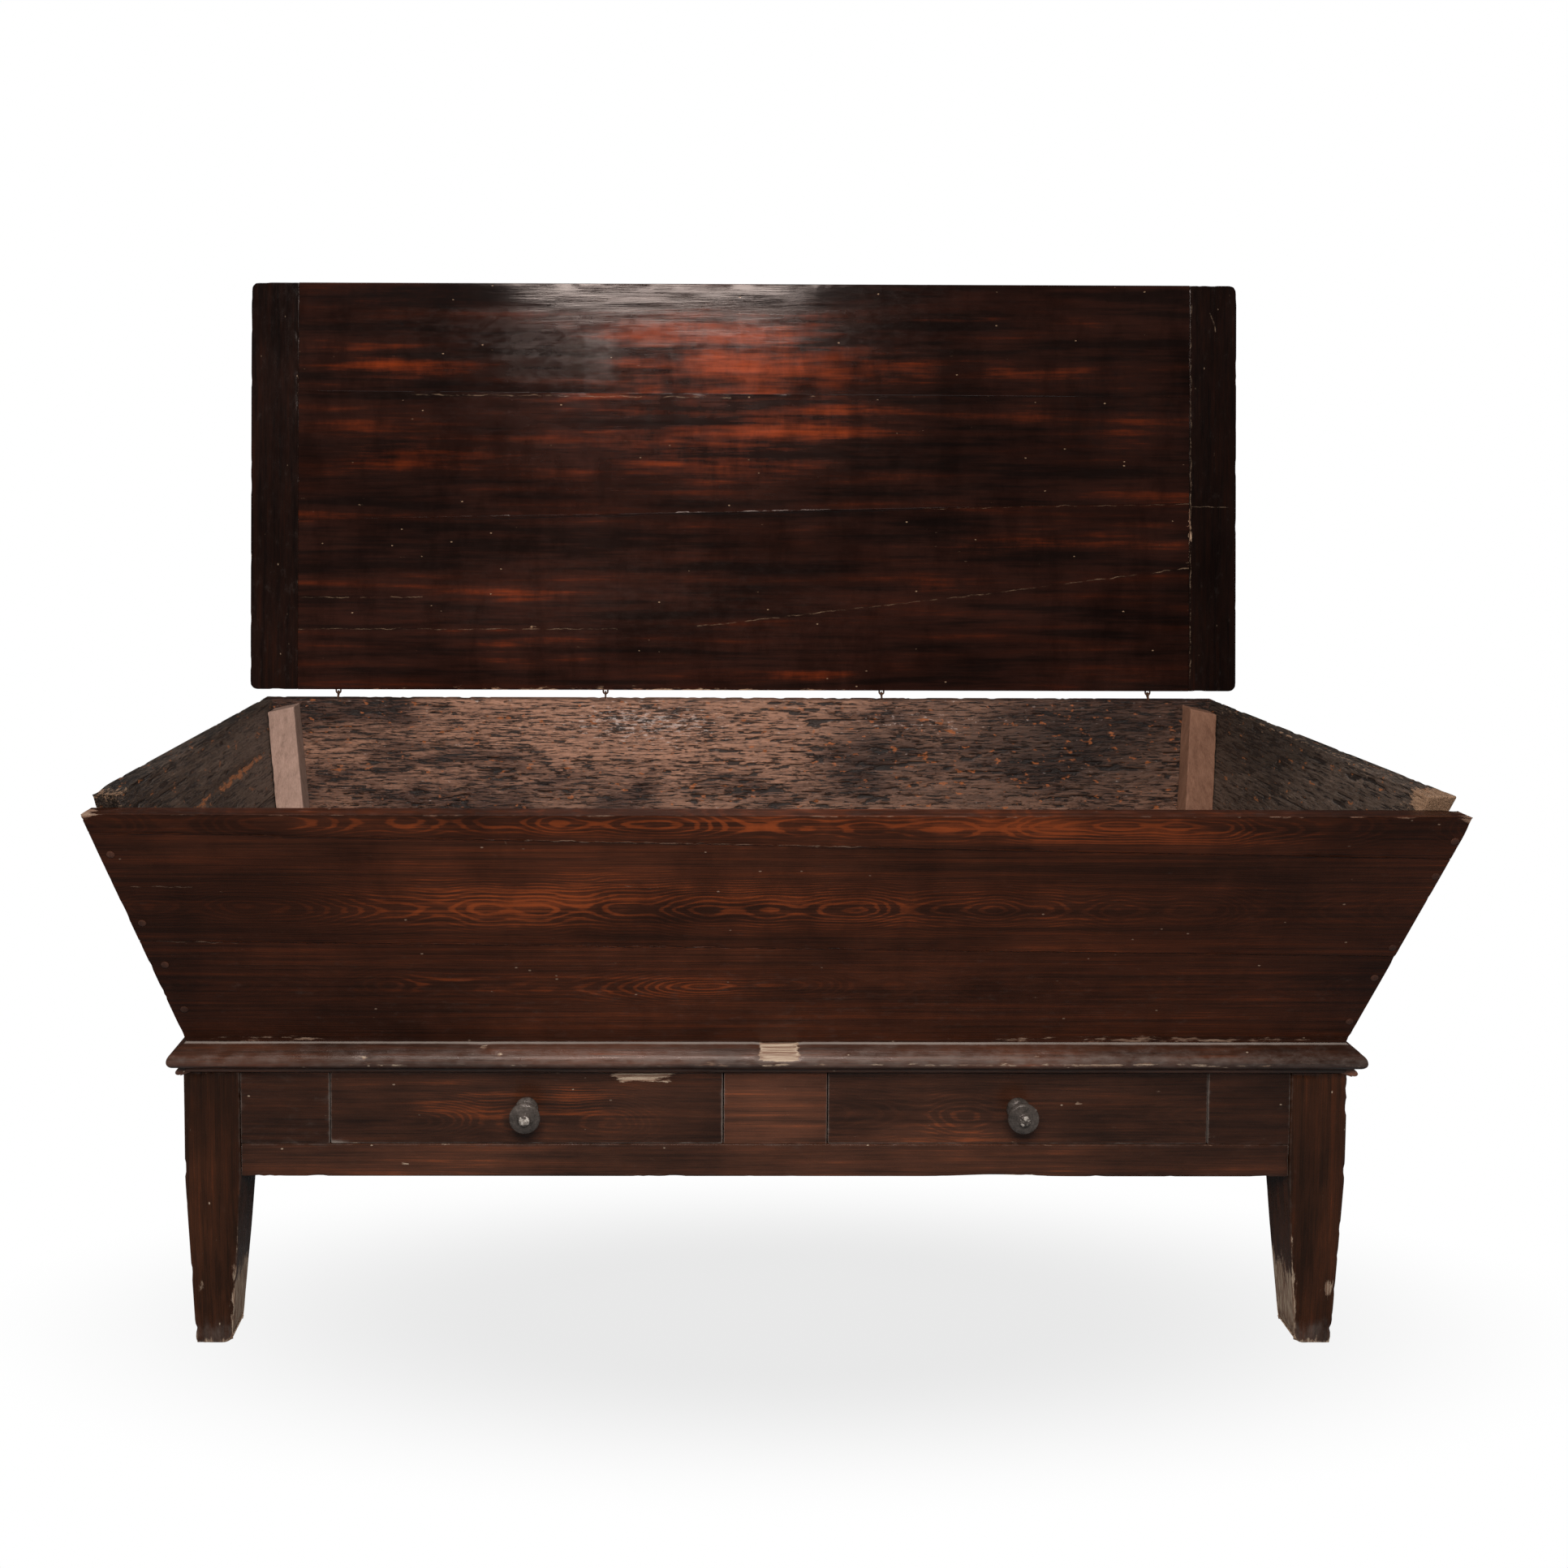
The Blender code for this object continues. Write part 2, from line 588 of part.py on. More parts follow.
def eye_directions() -> tuple:
    """Hinge axis point, direction down the back wall, and direction across it."""
    lean = math.atan(SIDE_FLARE)
    down = Vector((0, -math.sin(lean), -math.cos(lean)))
    across = Vector((0, math.cos(lean), -math.sin(lean)))
    return Vector((0, AXIS_Y, AXIS_Z)), down, across


def build_lower_eyes(parent: bpy.types.Object) -> None:
    """Wire eyes whose two legs go down into the back wall."""
    axis, down, across = eye_directions()
    half = eye_leg_half()
    reach = EYE_RISE / math.cos(math.atan(SIDE_FLARE)) + EYE_DEPTH
    first = math.asin(half / EYE_RING)
    steps = 16
    for number, x in enumerate(eye_places(), 1):
        centre = axis + Vector((x, 0, 0))
        path = [centre + across * half + down * reach]
        for step in range(steps + 1):
            angle = first + (2 * math.pi - 2 * first) * step / steps
            path.append(centre + down * EYE_RING * math.cos(angle) + across * EYE_RING * math.sin(angle))
        path.append(centre - across * half + down * reach)
        add_piece(f"lower_eye_{number}", wire_mesh(path, EYE_WIRE), IRON, parent)


def build_lid(parent: bpy.types.Object) -> None:
    """Lid in its own frame: hinge axis at the origin, lying closed towards -Y."""
    rear = -EYE_REACH
    front = rear - LID_DEPTH
    shoulder = LID_HALF - CLEAT_WIDTH
    middle = (LID_UNDER + LID_TOP) / 2
    low, high = middle - TONGUE_THICK / 2, middle + TONGUE_THICK / 2
    edge = shoulder - GAP
    tip = shoulder + TONGUE_LENGTH - GAP
    seam_rear = rear - LID_DEPTH * LID_REAR_SHARE
    seam_front = seam_rear - LID_DEPTH * LID_MIDDLE_SHARE
    holes = []
    for x in eye_places():
        for prong in (x - EYE_PRONG, x + EYE_PRONG):
            mouth = Vector((prong, rear + 0.001, 0))
            end = Vector((prong, rear - EYE_DEPTH - GAP, 0))
            holes.append(rod_mesh(mouth, end, EYE_WIRE + GAP))
    boards = (("lid_rear_board", seam_rear + GAP / 2, rear, holes),
              ("lid_middle_board", seam_front + GAP / 2, seam_rear - GAP / 2, []),
              ("lid_front_board", front, seam_front - GAP / 2, []))
    for name, near, far, more in boards:
        board = add_piece(name, box_mesh((-tip, near, LID_UNDER), (tip, far, LID_TOP)), LID_WOOD, parent)
        rabbets = []
        for hand in (-1, 1):
            across = sorted((hand * edge, hand * (tip + 0.001)))
            rabbets.append(box_mesh((across[0], near - 0.001, LID_UNDER - 0.001),
                                    (across[1], far + 0.001, low)))
            rabbets.append(box_mesh((across[0], near - 0.001, high),
                                    (across[1], far + 0.001, LID_TOP + 0.001)))
        cut(board, rabbets + more)

    for name, hand in (("lid_left_cleat", -1), ("lid_right_cleat", 1)):
        inner, outer = hand * shoulder, hand * LID_HALF
        groove = hand * (shoulder + TONGUE_LENGTH)
        outline = [(inner, LID_UNDER), (outer, LID_UNDER), (outer, LID_TOP), (inner, LID_TOP),
                   (inner, high + GAP), (groove, high + GAP), (groove, low - GAP), (inner, low - GAP)]
        bm = bmesh.new()
        bm.from_mesh(prism_mesh(outline, "Y", front, rear))
        corners = []
        for line in bm.edges:
            at_outer = all(abs(end.co.x - outer) < 0.00001 for end in line.verts)
            upright = abs(line.verts[0].co.z - line.verts[1].co.z) > LID_THICK / 2
            at_end = min(abs(line.verts[0].co.y - front), abs(line.verts[0].co.y - rear)) < 0.00001
            level = abs(line.verts[0].co.y - line.verts[1].co.y) < 0.00001
            if at_outer and upright and at_end and level:
                corners.append(line)
        bmesh.ops.bevel(bm, geom=corners, offset=CLEAT_CORNER, segments=4, profile=0.5, affect="EDGES")
        add_piece(name, to_mesh(bm), LID_WOOD, parent)

    steps = 10
    for number, x in enumerate(eye_places(), 1):
        path = [(x + EYE_PRONG, rear - EYE_DEPTH, 0.0)]
        for step in range(steps + 1):
            angle = math.pi * step / steps
            path.append((x + EYE_PRONG * math.cos(angle), EYE_PRONG * (math.sin(angle) - 1), 0.0))
        path.append((x - EYE_PRONG, rear - EYE_DEPTH, 0.0))
        add_piece(f"upper_eye_{number}", wire_mesh(path, EYE_WIRE), IRON, parent)


def knob_mesh() -> bpy.types.Mesh:
    """Turned knob standing on its tenon, by the Screw modifier."""
    disc, flange = KNOB_DIAMETER / 2, KNOB_FLANGE / 2
    neck, button, tenon = KNOB_NECK / 2, KNOB_BUTTON / 2, KNOB_TENON / 2
    tall = KNOB_LENGTH
    profile = [
        (0.0, tall), (button * 0.6, tall * 0.985), (button * 0.95, tall * 0.945), (button, tall * 0.90),
        (button * 1.1, tall * 0.875), (disc * 0.80, tall * 0.845), (disc * 0.95, tall * 0.80),
        (disc, tall * 0.74), (disc * 0.97, tall * 0.68), (disc * 0.82, tall * 0.61),
        (neck * 1.15, tall * 0.51), (neck, tall * 0.39), (neck * 1.12, tall * 0.27),
        (flange * 0.85, tall * 0.18), (flange, tall * 0.11), (flange * 0.97, GAP),
        (tenon, GAP), (tenon, -KNOB_TENON_LENGTH), (0.0, -KNOB_TENON_LENGTH),
    ]
    line = bpy.data.meshes.new("knob_profile")
    line.from_pydata([(r, 0.0, z) for r, z in profile], [(i, i + 1) for i in range(len(profile) - 1)], [])
    turned = bpy.data.objects.new("knob_profile", line)
    PARTS.objects.link(turned)
    screw = turned.modifiers.new("turn", "SCREW")
    screw.axis = "Z"
    screw.steps = 24
    screw.render_steps = 24
    screw.use_merge_vertices = True
    screw.merge_threshold = 0.00001
    view = bpy.context.evaluated_depsgraph_get()
    view.update()
    mesh = bpy.data.meshes.new_from_object(turned.evaluated_get(view))
    bpy.data.objects.remove(turned, do_unlink=True)
    bm = bmesh.new()
    bm.from_mesh(mesh)
    made = to_mesh(bm)
    made.polygons.foreach_set("use_smooth", [True] * len(made.polygons))
    return made


def tail_outline(middle: float, slack: float) -> list:
    """One dovetail in (y, z), from the front's back face towards its show face."""
    root = DRAWER_FRONT_THICK + GAP
    tip = DRAWER_FRONT_THICK - TAIL_LENGTH - slack
    waist = TAIL_WAIST / 2 + slack
    wide = waist + TAIL_SPREAD
    return [(root, middle + waist), (tip, middle + wide), (tip, middle - wide), (root, middle - waist)]


def build_drawer(name: str, left: float, right: float, parent: bpy.types.Object) -> None:
    """A drawer: front, dovetailed sides, back, bottom in grooves, and knob."""
    carrier = pivot(name, ((left + right) / 2, FACE_Y, RAIL_TOP), parent)
    half = (right - left) / 2 - DRAWER_REVEAL
    thick = DRAWER_SIDE_THICK
    foot, top = GAP, DRAWER_SIDE_HEIGHT
    tails = [top * 0.36, top * 0.76]
    groove_low, groove_high = GROOVE_RISE - GAP, GROOVE_RISE + DRAWER_BOTTOM_THICK + GAP

    front = add_piece(name + "_front", box_mesh((-half, 0, DRAWER_REVEAL),
                                                (half, DRAWER_FRONT_THICK, DRAWER_OPENING - DRAWER_REVEAL)),
                      STAINED, carrier)
    inside = half - thick + GROOVE_DEPTH
    knob_z = DRAWER_OPENING / 2
    cuts = [box_mesh((-inside, DRAWER_FRONT_THICK - GROOVE_DEPTH, groove_low),
                     (inside, DRAWER_FRONT_THICK + 0.002, groove_high)),
            rod_mesh(Vector((0, -0.002, knob_z)), Vector((0, DRAWER_FRONT_THICK + 0.002, knob_z)),
                     KNOB_TENON / 2 + GAP, 24)]
    for hand in (-1, 1):
        inner = hand * (half - thick - GAP)
        outer = hand * (half + 0.002)
        for middle in tails:
            socket = tail_outline(middle, GAP)
            socket[0] = (socket[0][0] + 0.002, socket[0][1] - TAIL_SPREAD * 0.002 / TAIL_LENGTH)
            socket[3] = (socket[3][0] + 0.002, socket[3][1] + TAIL_SPREAD * 0.002 / TAIL_LENGTH)
            cuts.append(prism_mesh(socket, "X", min(inner, outer), max(inner, outer)))
    cut(front, cuts)

    root = DRAWER_FRONT_THICK + GAP
    outline = [(root, foot), (DRAWER_LENGTH, foot), (DRAWER_LENGTH, top), (root, top)]
    for middle in reversed(tails):
        outline.extend(tail_outline(middle, 0.0))
    for word, hand in (("left", -1), ("right", 1)):
        faces = sorted((hand * (half - thick), hand * half))
        side = add_piece(f"{name}_{word}_side", prism_mesh(outline, "X", *faces), RAW_WOOD, carrier)
        bed = sorted((hand * (half - thick - 0.002), hand * (half - thick + GROOVE_DEPTH)))
        cut(side, [box_mesh((bed[0], 0, groove_low), (bed[1], DRAWER_LENGTH + 0.002, groove_high))])

    clear = half - thick - GAP
    back = box_mesh((-clear, DRAWER_LENGTH - thick, groove_high), (clear, DRAWER_LENGTH, top))
    add_piece(name + "_back", back, RAW_WOOD, carrier)
    wide = inside - GAP
    bottom = box_mesh((-wide, DRAWER_FRONT_THICK - GROOVE_DEPTH + GAP, GROOVE_RISE),
                      (wide, DRAWER_LENGTH, GROOVE_RISE + DRAWER_BOTTOM_THICK))
    add_piece(name + "_bottom", bottom, RAW_WOOD, carrier)
    knob = add_piece(name + "_knob", knob_mesh(), KNOB_WOOD, carrier)
    knob.location = (0, 0, knob_z)
    knob.rotation_euler = (math.pi / 2, 0, 0)


def build() -> None:
    """Put the whole dough box together."""
    root = pivot("stand", (0, ORIGIN_SHIFT, 0))
    for word, side in (("left", -1), ("right", 1)):
        build_leg(f"front_{word}_leg", side, -1, root)
        build_leg(f"back_{word}_leg", side, 1, root)
    build_aprons(root)
    build_front(root)
    build_frame(root)
    trough = pivot("trough", (0, TROUGH_Y, 0), root)
    build_walls(trough)
    build_ends(trough)
    build_lower_eyes(trough)
    places = front_places()
    build_drawer("left_drawer", *places[1], root)
    build_drawer("right_drawer", *places[3], root)
    lid = pivot("lid", (0, AXIS_Y, AXIS_Z), trough)
    lid.rotation_euler = (-(math.pi / 2 + LID_LEAN), 0, 0)
    build_lid(lid)


build()
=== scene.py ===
"""Looks of a dough box: worn boards, a moulded frame, two drawers and eye hinges.

Metres, +Z up, front towards -Y. The lid stands open at rest.
"""

import itertools
import logging
import math
from dataclasses import dataclass, replace
from enum import Enum
from typing import Callable

import bpy
import numpy as np
from mathutils import Matrix, Vector


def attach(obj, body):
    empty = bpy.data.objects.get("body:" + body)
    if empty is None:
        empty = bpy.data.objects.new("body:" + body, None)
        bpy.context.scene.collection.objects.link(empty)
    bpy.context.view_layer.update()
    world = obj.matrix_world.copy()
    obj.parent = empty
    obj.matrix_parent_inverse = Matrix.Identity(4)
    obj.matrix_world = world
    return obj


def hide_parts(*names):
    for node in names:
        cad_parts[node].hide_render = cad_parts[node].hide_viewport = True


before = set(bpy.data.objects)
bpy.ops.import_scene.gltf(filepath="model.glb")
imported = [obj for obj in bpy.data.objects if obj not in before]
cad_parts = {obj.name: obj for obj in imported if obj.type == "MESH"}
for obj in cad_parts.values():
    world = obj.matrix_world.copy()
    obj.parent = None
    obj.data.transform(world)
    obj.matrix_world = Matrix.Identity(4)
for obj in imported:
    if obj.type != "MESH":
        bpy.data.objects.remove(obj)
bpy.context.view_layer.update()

log = logging.getLogger("dough_box")
Pair = tuple[float, float]
Triple = tuple[float, float, float]
Level = float | np.ndarray
Placing = Callable[[np.ndarray], np.ndarray]

GAP = 0.0003  # between pieces that touch
TROUGH_SHIFT = -0.022742  # the trough's middle, along Y
STAND_SHIFT = 0.031258  # the stand's middle, along Y
TROUGH_BASE = 0.412
FRAME_BOTTOM = 0.3693
LEG_HEIGHT = 0.369
RAIL_BOTTOM = 0.229
RAIL_TOP = 0.272
STAND_HALF = 0.760  # half length over the legs
STAND_DEEP = 0.236  # half depth over the legs
LEG_SIDE = 0.073
FACE_SETBACK = 0.003  # rail, blocks and drawers behind the legs' faces
FRONT_FACE = -(STAND_DEEP - FACE_SETBACK) + STAND_SHIFT
DRAWER_EDGES = (-0.570622, -0.055647, 0.079692, 0.579416)
ENDS = ((0, -1), (0, 1))  # a piece's two ends, as (axis, side)
EDGES = ((1, -1), (1, 1))  # its two edges
SHIFT_STEP = 0.618  # how far a pattern moves from one seed to the next
SHIFT_SIZE = (37.0, 19.0, 23.0)  # the longest such move along each axis
SHAKE = 0.004  # how far a scratch strays from its line
SPECK_CELLS = (60.0, 105.0, 105.0)  # per metre, one pale speck in some of them
THREADS = (3.5, 4.2)  # how much finer the threads are than the streaks
TIGHT_HOLD = 0.95  # how much of its wear a tight face is spared
EDGE_FADE = 0.0025  # how far the edge layer reaches from an arris
CLOSE_LINE = 0.002  # from an arris to the next cell line
ARRIS_SHARE = 0.45  # where the extra line on an arris lies


class Grain(Enum):
    """Direction of the grain, as the turn that brings it to the pattern's X."""

    ALONG_X = (0.0, 0.0, 0.0)
    ALONG_Y = (0.0, 0.0, -math.pi / 2)
    ALONG_Z = (0.0, math.pi / 2, 0.0)


class Show(Enum):
    """The plane in which a piece's marks are measured, as two axes."""

    FRONT = (0, 2)
    END = (1, 2)
    TOP = (0, 1)


class Layer(Enum):
    """What a mark leaves on the wood, or painted light and shade, as the name of its attribute."""

    RED = "red"
    SOOT = "soot"
    WORN = "worn"
    DUST = "dust"
    # Painted light and shade, lightening or darkening where light falls more or less.
    LIGHT = "light"


class Pattern(Enum):
    """A noise: cells per metre along and across the grain, or on each axis, detail, roughness."""

    FIBRE = ((20.0, 700.0), 3.0, 0.6)
    BLOTCH = ((3.2, 9.0), 6.0, 0.64)
    FINE = ((50.0, 110.0), 5.0, 0.65)
    CHIPS = ((34.0, 150.0), 5.0, 0.68)
    DRIP = ((13.0, 13.0, 5.0), 7.0, 0.68)
    BROKEN = ((26.0, 1.0, 90.0), 6.0, 0.72)
    RING_BEND = ((1.4, 0.0), 2.0, 0.55)
    RING_DEPTH = ((2.0, 0.0), 3.0, 0.55)
    RING_SHAKE = ((7.0, 60.0), 4.0, 0.55)
    PATCH = ((3.5, 9.0), 6.0, 0.66)
    THREAD = ((14.0, 330.0), 4.0, 0.62)
    CRACK = ((36.0, 400.0), 5.0, 0.64)
    GASH = ((19.0, 180.0), 5.0, 0.66)
    FLAKE = ((85.0, 230.0), 5.0, 0.68)
    SPOTS = ((60.0, 120.0), 3.0, 0.55)
    RUST = ((600.0, 600.0), 4.0, 0.6)


@dataclass(frozen=True)
class Mark:
    """A stain, wear, a chip or painted light and shade: place, half sizes, strength and depth."""

    layer: Layer
    at: Pair
    reach: Pair
    amount: float = 1.0
    depth: float = 0.0
    turn: float = 0.0
    hard: bool = False
    side: tuple[int, int] | None = None

    def cover(self, first: np.ndarray, second: np.ndarray, outward: np.ndarray) -> np.ndarray:
        """How much of the mark each place has.

        Args:
            first: Places along the first axis of the piece's plane.
            second: Places along the second axis.
            outward: The surface's direction on the piece.

        Returns:
            A share from 0 to 1 for each place.
        """
        cos, sin = math.cos(self.turn), math.sin(self.turn)
        a, b = first - self.at[0], second - self.at[1]
        along, across = (a * cos + b * sin) / self.reach[0], (b * cos - a * sin) / self.reach[1]
        power = 8 if self.hard else 2
        share = np.exp(-along ** power - across ** power)
        if self.side:
            share = share * np.clip(self.side[1] * outward[:, self.side[0]], 0.0, 1.0)
        return share


def marks(layer: Layer, *rows: tuple[float, ...], **more: object) -> tuple[Mark, ...]:
    """Marks of one kind.

    Args:
        layer: What they leave on the wood.
        *rows: For each mark its place, its half sizes, its strength and perhaps its depth.
        **more: Other fields, the same for all of them.

    Returns:
        The marks.
    """
    return tuple(Mark(layer, row[:2], row[2:4], *row[4:], **more) for row in rows)


@dataclass(frozen=True)
class Scratch:
    """A thin crack or pale line on a face seen from the front, from start to end in (x, z)."""

    start: Pair
    end: Pair
    width: float = 0.0010
    dark: bool = False


def lattice_noise(places: np.ndarray, seed: int) -> np.ndarray:
    """Smooth noise, the same on every run.

    Args:
        places: Points in noise cells, one row each.
        seed: Picks one of many patterns.

    Returns:
        A value from -1 to 1 for each point.
    """
    cell = np.floor(places).astype(np.int64)
    part = places - cell
    part = part * part * (3 - 2 * part)
    total = np.zeros(len(places))
    for corner in itertools.product((0, 1), repeat=3):
        x, y, z = (cell + np.array(corner)).T
        key = x * 73856093 ^ y * 19349663 ^ z * 83492791 ^ seed * 26544357
        for bits, factor in ((13, 1274126177), (16, 73244475)):
            key = (key ^ (key >> bits)) * factor & 0x7FFFFFFF
        weight = np.prod(np.where(np.array(corner) == 1, part, 1 - part), axis=1)
        total += weight * (key % 65536) / 32768.0
    return total - 1.0


def smooth_step(value: np.ndarray, low: float, high: float) -> np.ndarray:
    """A soft step from 0 to 1 between two values."""
    share = np.clip((value - low) / (high - low), 0.0, 1.0)
    return share * share * (3 - 2 * share)


def points(x: np.ndarray, y: np.ndarray, z: np.ndarray) -> np.ndarray:
    """Places from their three coordinates, one row each."""
    return np.stack((x, y, z), axis=1)


@dataclass(frozen=True)
class Wear:
    """How a surface has moved and worn inwards since it was planed."""

    wave: float = 0.0006
    wave_size: Triple = (0.25, 0.06, 0.06)
    ripple: float = 0.0002
    ripple_size: Triple = (0.05, 0.009, 0.009)
    pit: float = 0.0
    pit_size: Triple = (0.050, 0.0060, 0.0060)
    pit_from: float = 0.30
    pit_soft: float = 0.5
    pit_patch: Triple = (0.30, 0.08, 0.08)
    chip: float = 0.0015
    chip_step: Pair = (0.25, 0.85)
    chip_size: float = 0.020
    chip_reach: float = 0.005
    edge_wave: float = 0.15

    def depth(self, places: np.ndarray, outward: np.ndarray, edge: np.ndarray,
              seed: int) -> tuple[np.ndarray, np.ndarray]:
        """Depth of the wear at each place.

        Args:
            places: Sizes along, across and through the piece.
            outward: The surface's direction there.
            edge: Distance from the nearest arris.
            seed: Picks the piece's own pattern.

        Returns:
            The depth, and how much of it is a pit, from 0 to 1.
        """
        broad = self.edge_wave + (1 - self.edge_wave) * outward[:, 2] ** 2
        wave = lattice_noise(places / np.array(self.wave_size), seed) * 0.5 + 0.5
        ripple = lattice_noise(places / np.array(self.ripple_size), seed + 1) * 0.5 + 0.5
        chip = lattice_noise(places / self.chip_size, seed + 2)
        chip += 0.5 * lattice_noise(places / (self.chip_size * 0.3), seed + 3)
        chip = smooth_step(chip, *self.chip_step) * np.exp(-edge / self.chip_reach)
        pits = np.zeros(len(places))
        if self.pit > 0:
            size = np.array(self.pit_size)
            pits = lattice_noise(places / size, seed + 4)
            pits += 0.7 * lattice_noise(places / (size * 0.4), seed + 5)
            pits += 0.5 * lattice_noise(places / np.array(self.pit_patch), seed + 6)
            pits = smooth_step(pits, self.pit_from, self.pit_from + self.pit_soft) * broad
        even = (self.wave * wave + self.ripple * ripple) * broad
        return even + self.chip * chip + self.pit * pits, pits


def deselect_all() -> None:
    """Leave nothing selected, so that an operator acts on the new piece alone."""
    if bpy.context.object and bpy.context.object.mode != "OBJECT":
        bpy.ops.object.mode_set(mode="OBJECT")
    bpy.ops.object.select_all(action="DESELECT")


def extruded(name: str, steps: int, add: Callable,
             **sizes: object) -> tuple[bpy.types.Object, np.ndarray]:
    """Extrude a flat shape straight up, one unit a step.

    Args:
        name: The piece's name.
        steps: How many times it is extruded.
        add: The operator that adds the flat shape.
        **sizes: What the operator is given.

    Returns:
        The piece, and its points with the lowest at height 0.
    """
    deselect_all()
    add(**sizes)
    piece = bpy.context.object
    piece.name = piece.data.name = name
    bpy.ops.object.mode_set(mode="EDIT")
    bpy.ops.mesh.select_all(action="SELECT")
    for _ in range(steps):
        bpy.ops.mesh.extrude_region_move(TRANSFORM_OT_translate={"value": (0, 0, 1)})
    bpy.ops.object.mode_set(mode="OBJECT")
    flat = np.empty(len(piece.data.vertices) * 3)
    piece.data.vertices.foreach_get("co", flat)
    raw = flat.reshape(-1, 3)
    return piece, raw - np.array((0, 0, raw[:, 2].min()))


def shape(piece: bpy.types.Object, places: np.ndarray, layers: dict[str, object], seed: int,
          blunt: float = 35.0) -> bpy.types.Object:
    """Move an extruded piece's points, keep its layers and turn its faces outward.

    Args:
        piece: The extruded piece.
        places: Where its points go.
        layers: Values, one per point or one for all, under the names that a finish reads.
        seed: Picks the piece's shift along the patterns.
        blunt: The angle in degrees under which faces are smoothed.

    Returns:
        The piece.
    """
    mesh = piece.data
    mesh.vertices.foreach_set("co", np.ascontiguousarray(places, dtype=np.float32).ravel())
    mesh.update()
    names = [layer.value for layer in Layer] + ["edge", "pits", "heart"]
    values = dict.fromkeys(names, 0.0) | layers | {"shift": seed * SHIFT_STEP % 1.0}
    for name, value in values.items():
        kept = mesh.attributes.new(name, "FLOAT", "POINT")
        kept.data.foreach_set("value", np.full(len(places), value, dtype=np.float32))
    bpy.ops.object.mode_set(mode="EDIT")
    bpy.ops.mesh.select_all(action="SELECT")
    bpy.ops.mesh.normals_make_consistent(inside=False)
    bpy.ops.object.mode_set(mode="OBJECT")
    bpy.ops.object.shade_smooth_by_angle(angle=math.radians(blunt))
    return piece


class Value:
    """A node's output that can be reckoned with like a number."""

    def __init__(self, graph: "Graph", socket: bpy.types.NodeSocket) -> None:
        """Hold one output of a graph."""
        self.graph, self.socket = graph, socket

    def __add__(self, other: object) -> "Value":
        """The sum with another value."""
        return self.graph.math("ADD", self, other)

    def __sub__(self, other: object) -> "Value":
        """What is left without another value."""
        return self.graph.math("SUBTRACT", self, other)

    def __rsub__(self, other: object) -> "Value":
        """What is left of another value without this one."""
        return self.graph.math("SUBTRACT", other, self)

    def __mul__(self, other: object) -> "Value":
        """The product with another value."""
        return self.graph.math("MULTIPLY", self, other)

    __radd__ = __add__

    def span(self, low: object, high: object, start: float = 0.0, stop: float = 1.0) -> "Value":
        """A soft step of the value between two limits."""
        return self.graph.value("ShaderNodeMapRange", {"interpolation_type": "SMOOTHSTEP"},
                                Value=self, From_Min=low, From_Max=high, To_Min=start, To_Max=stop)


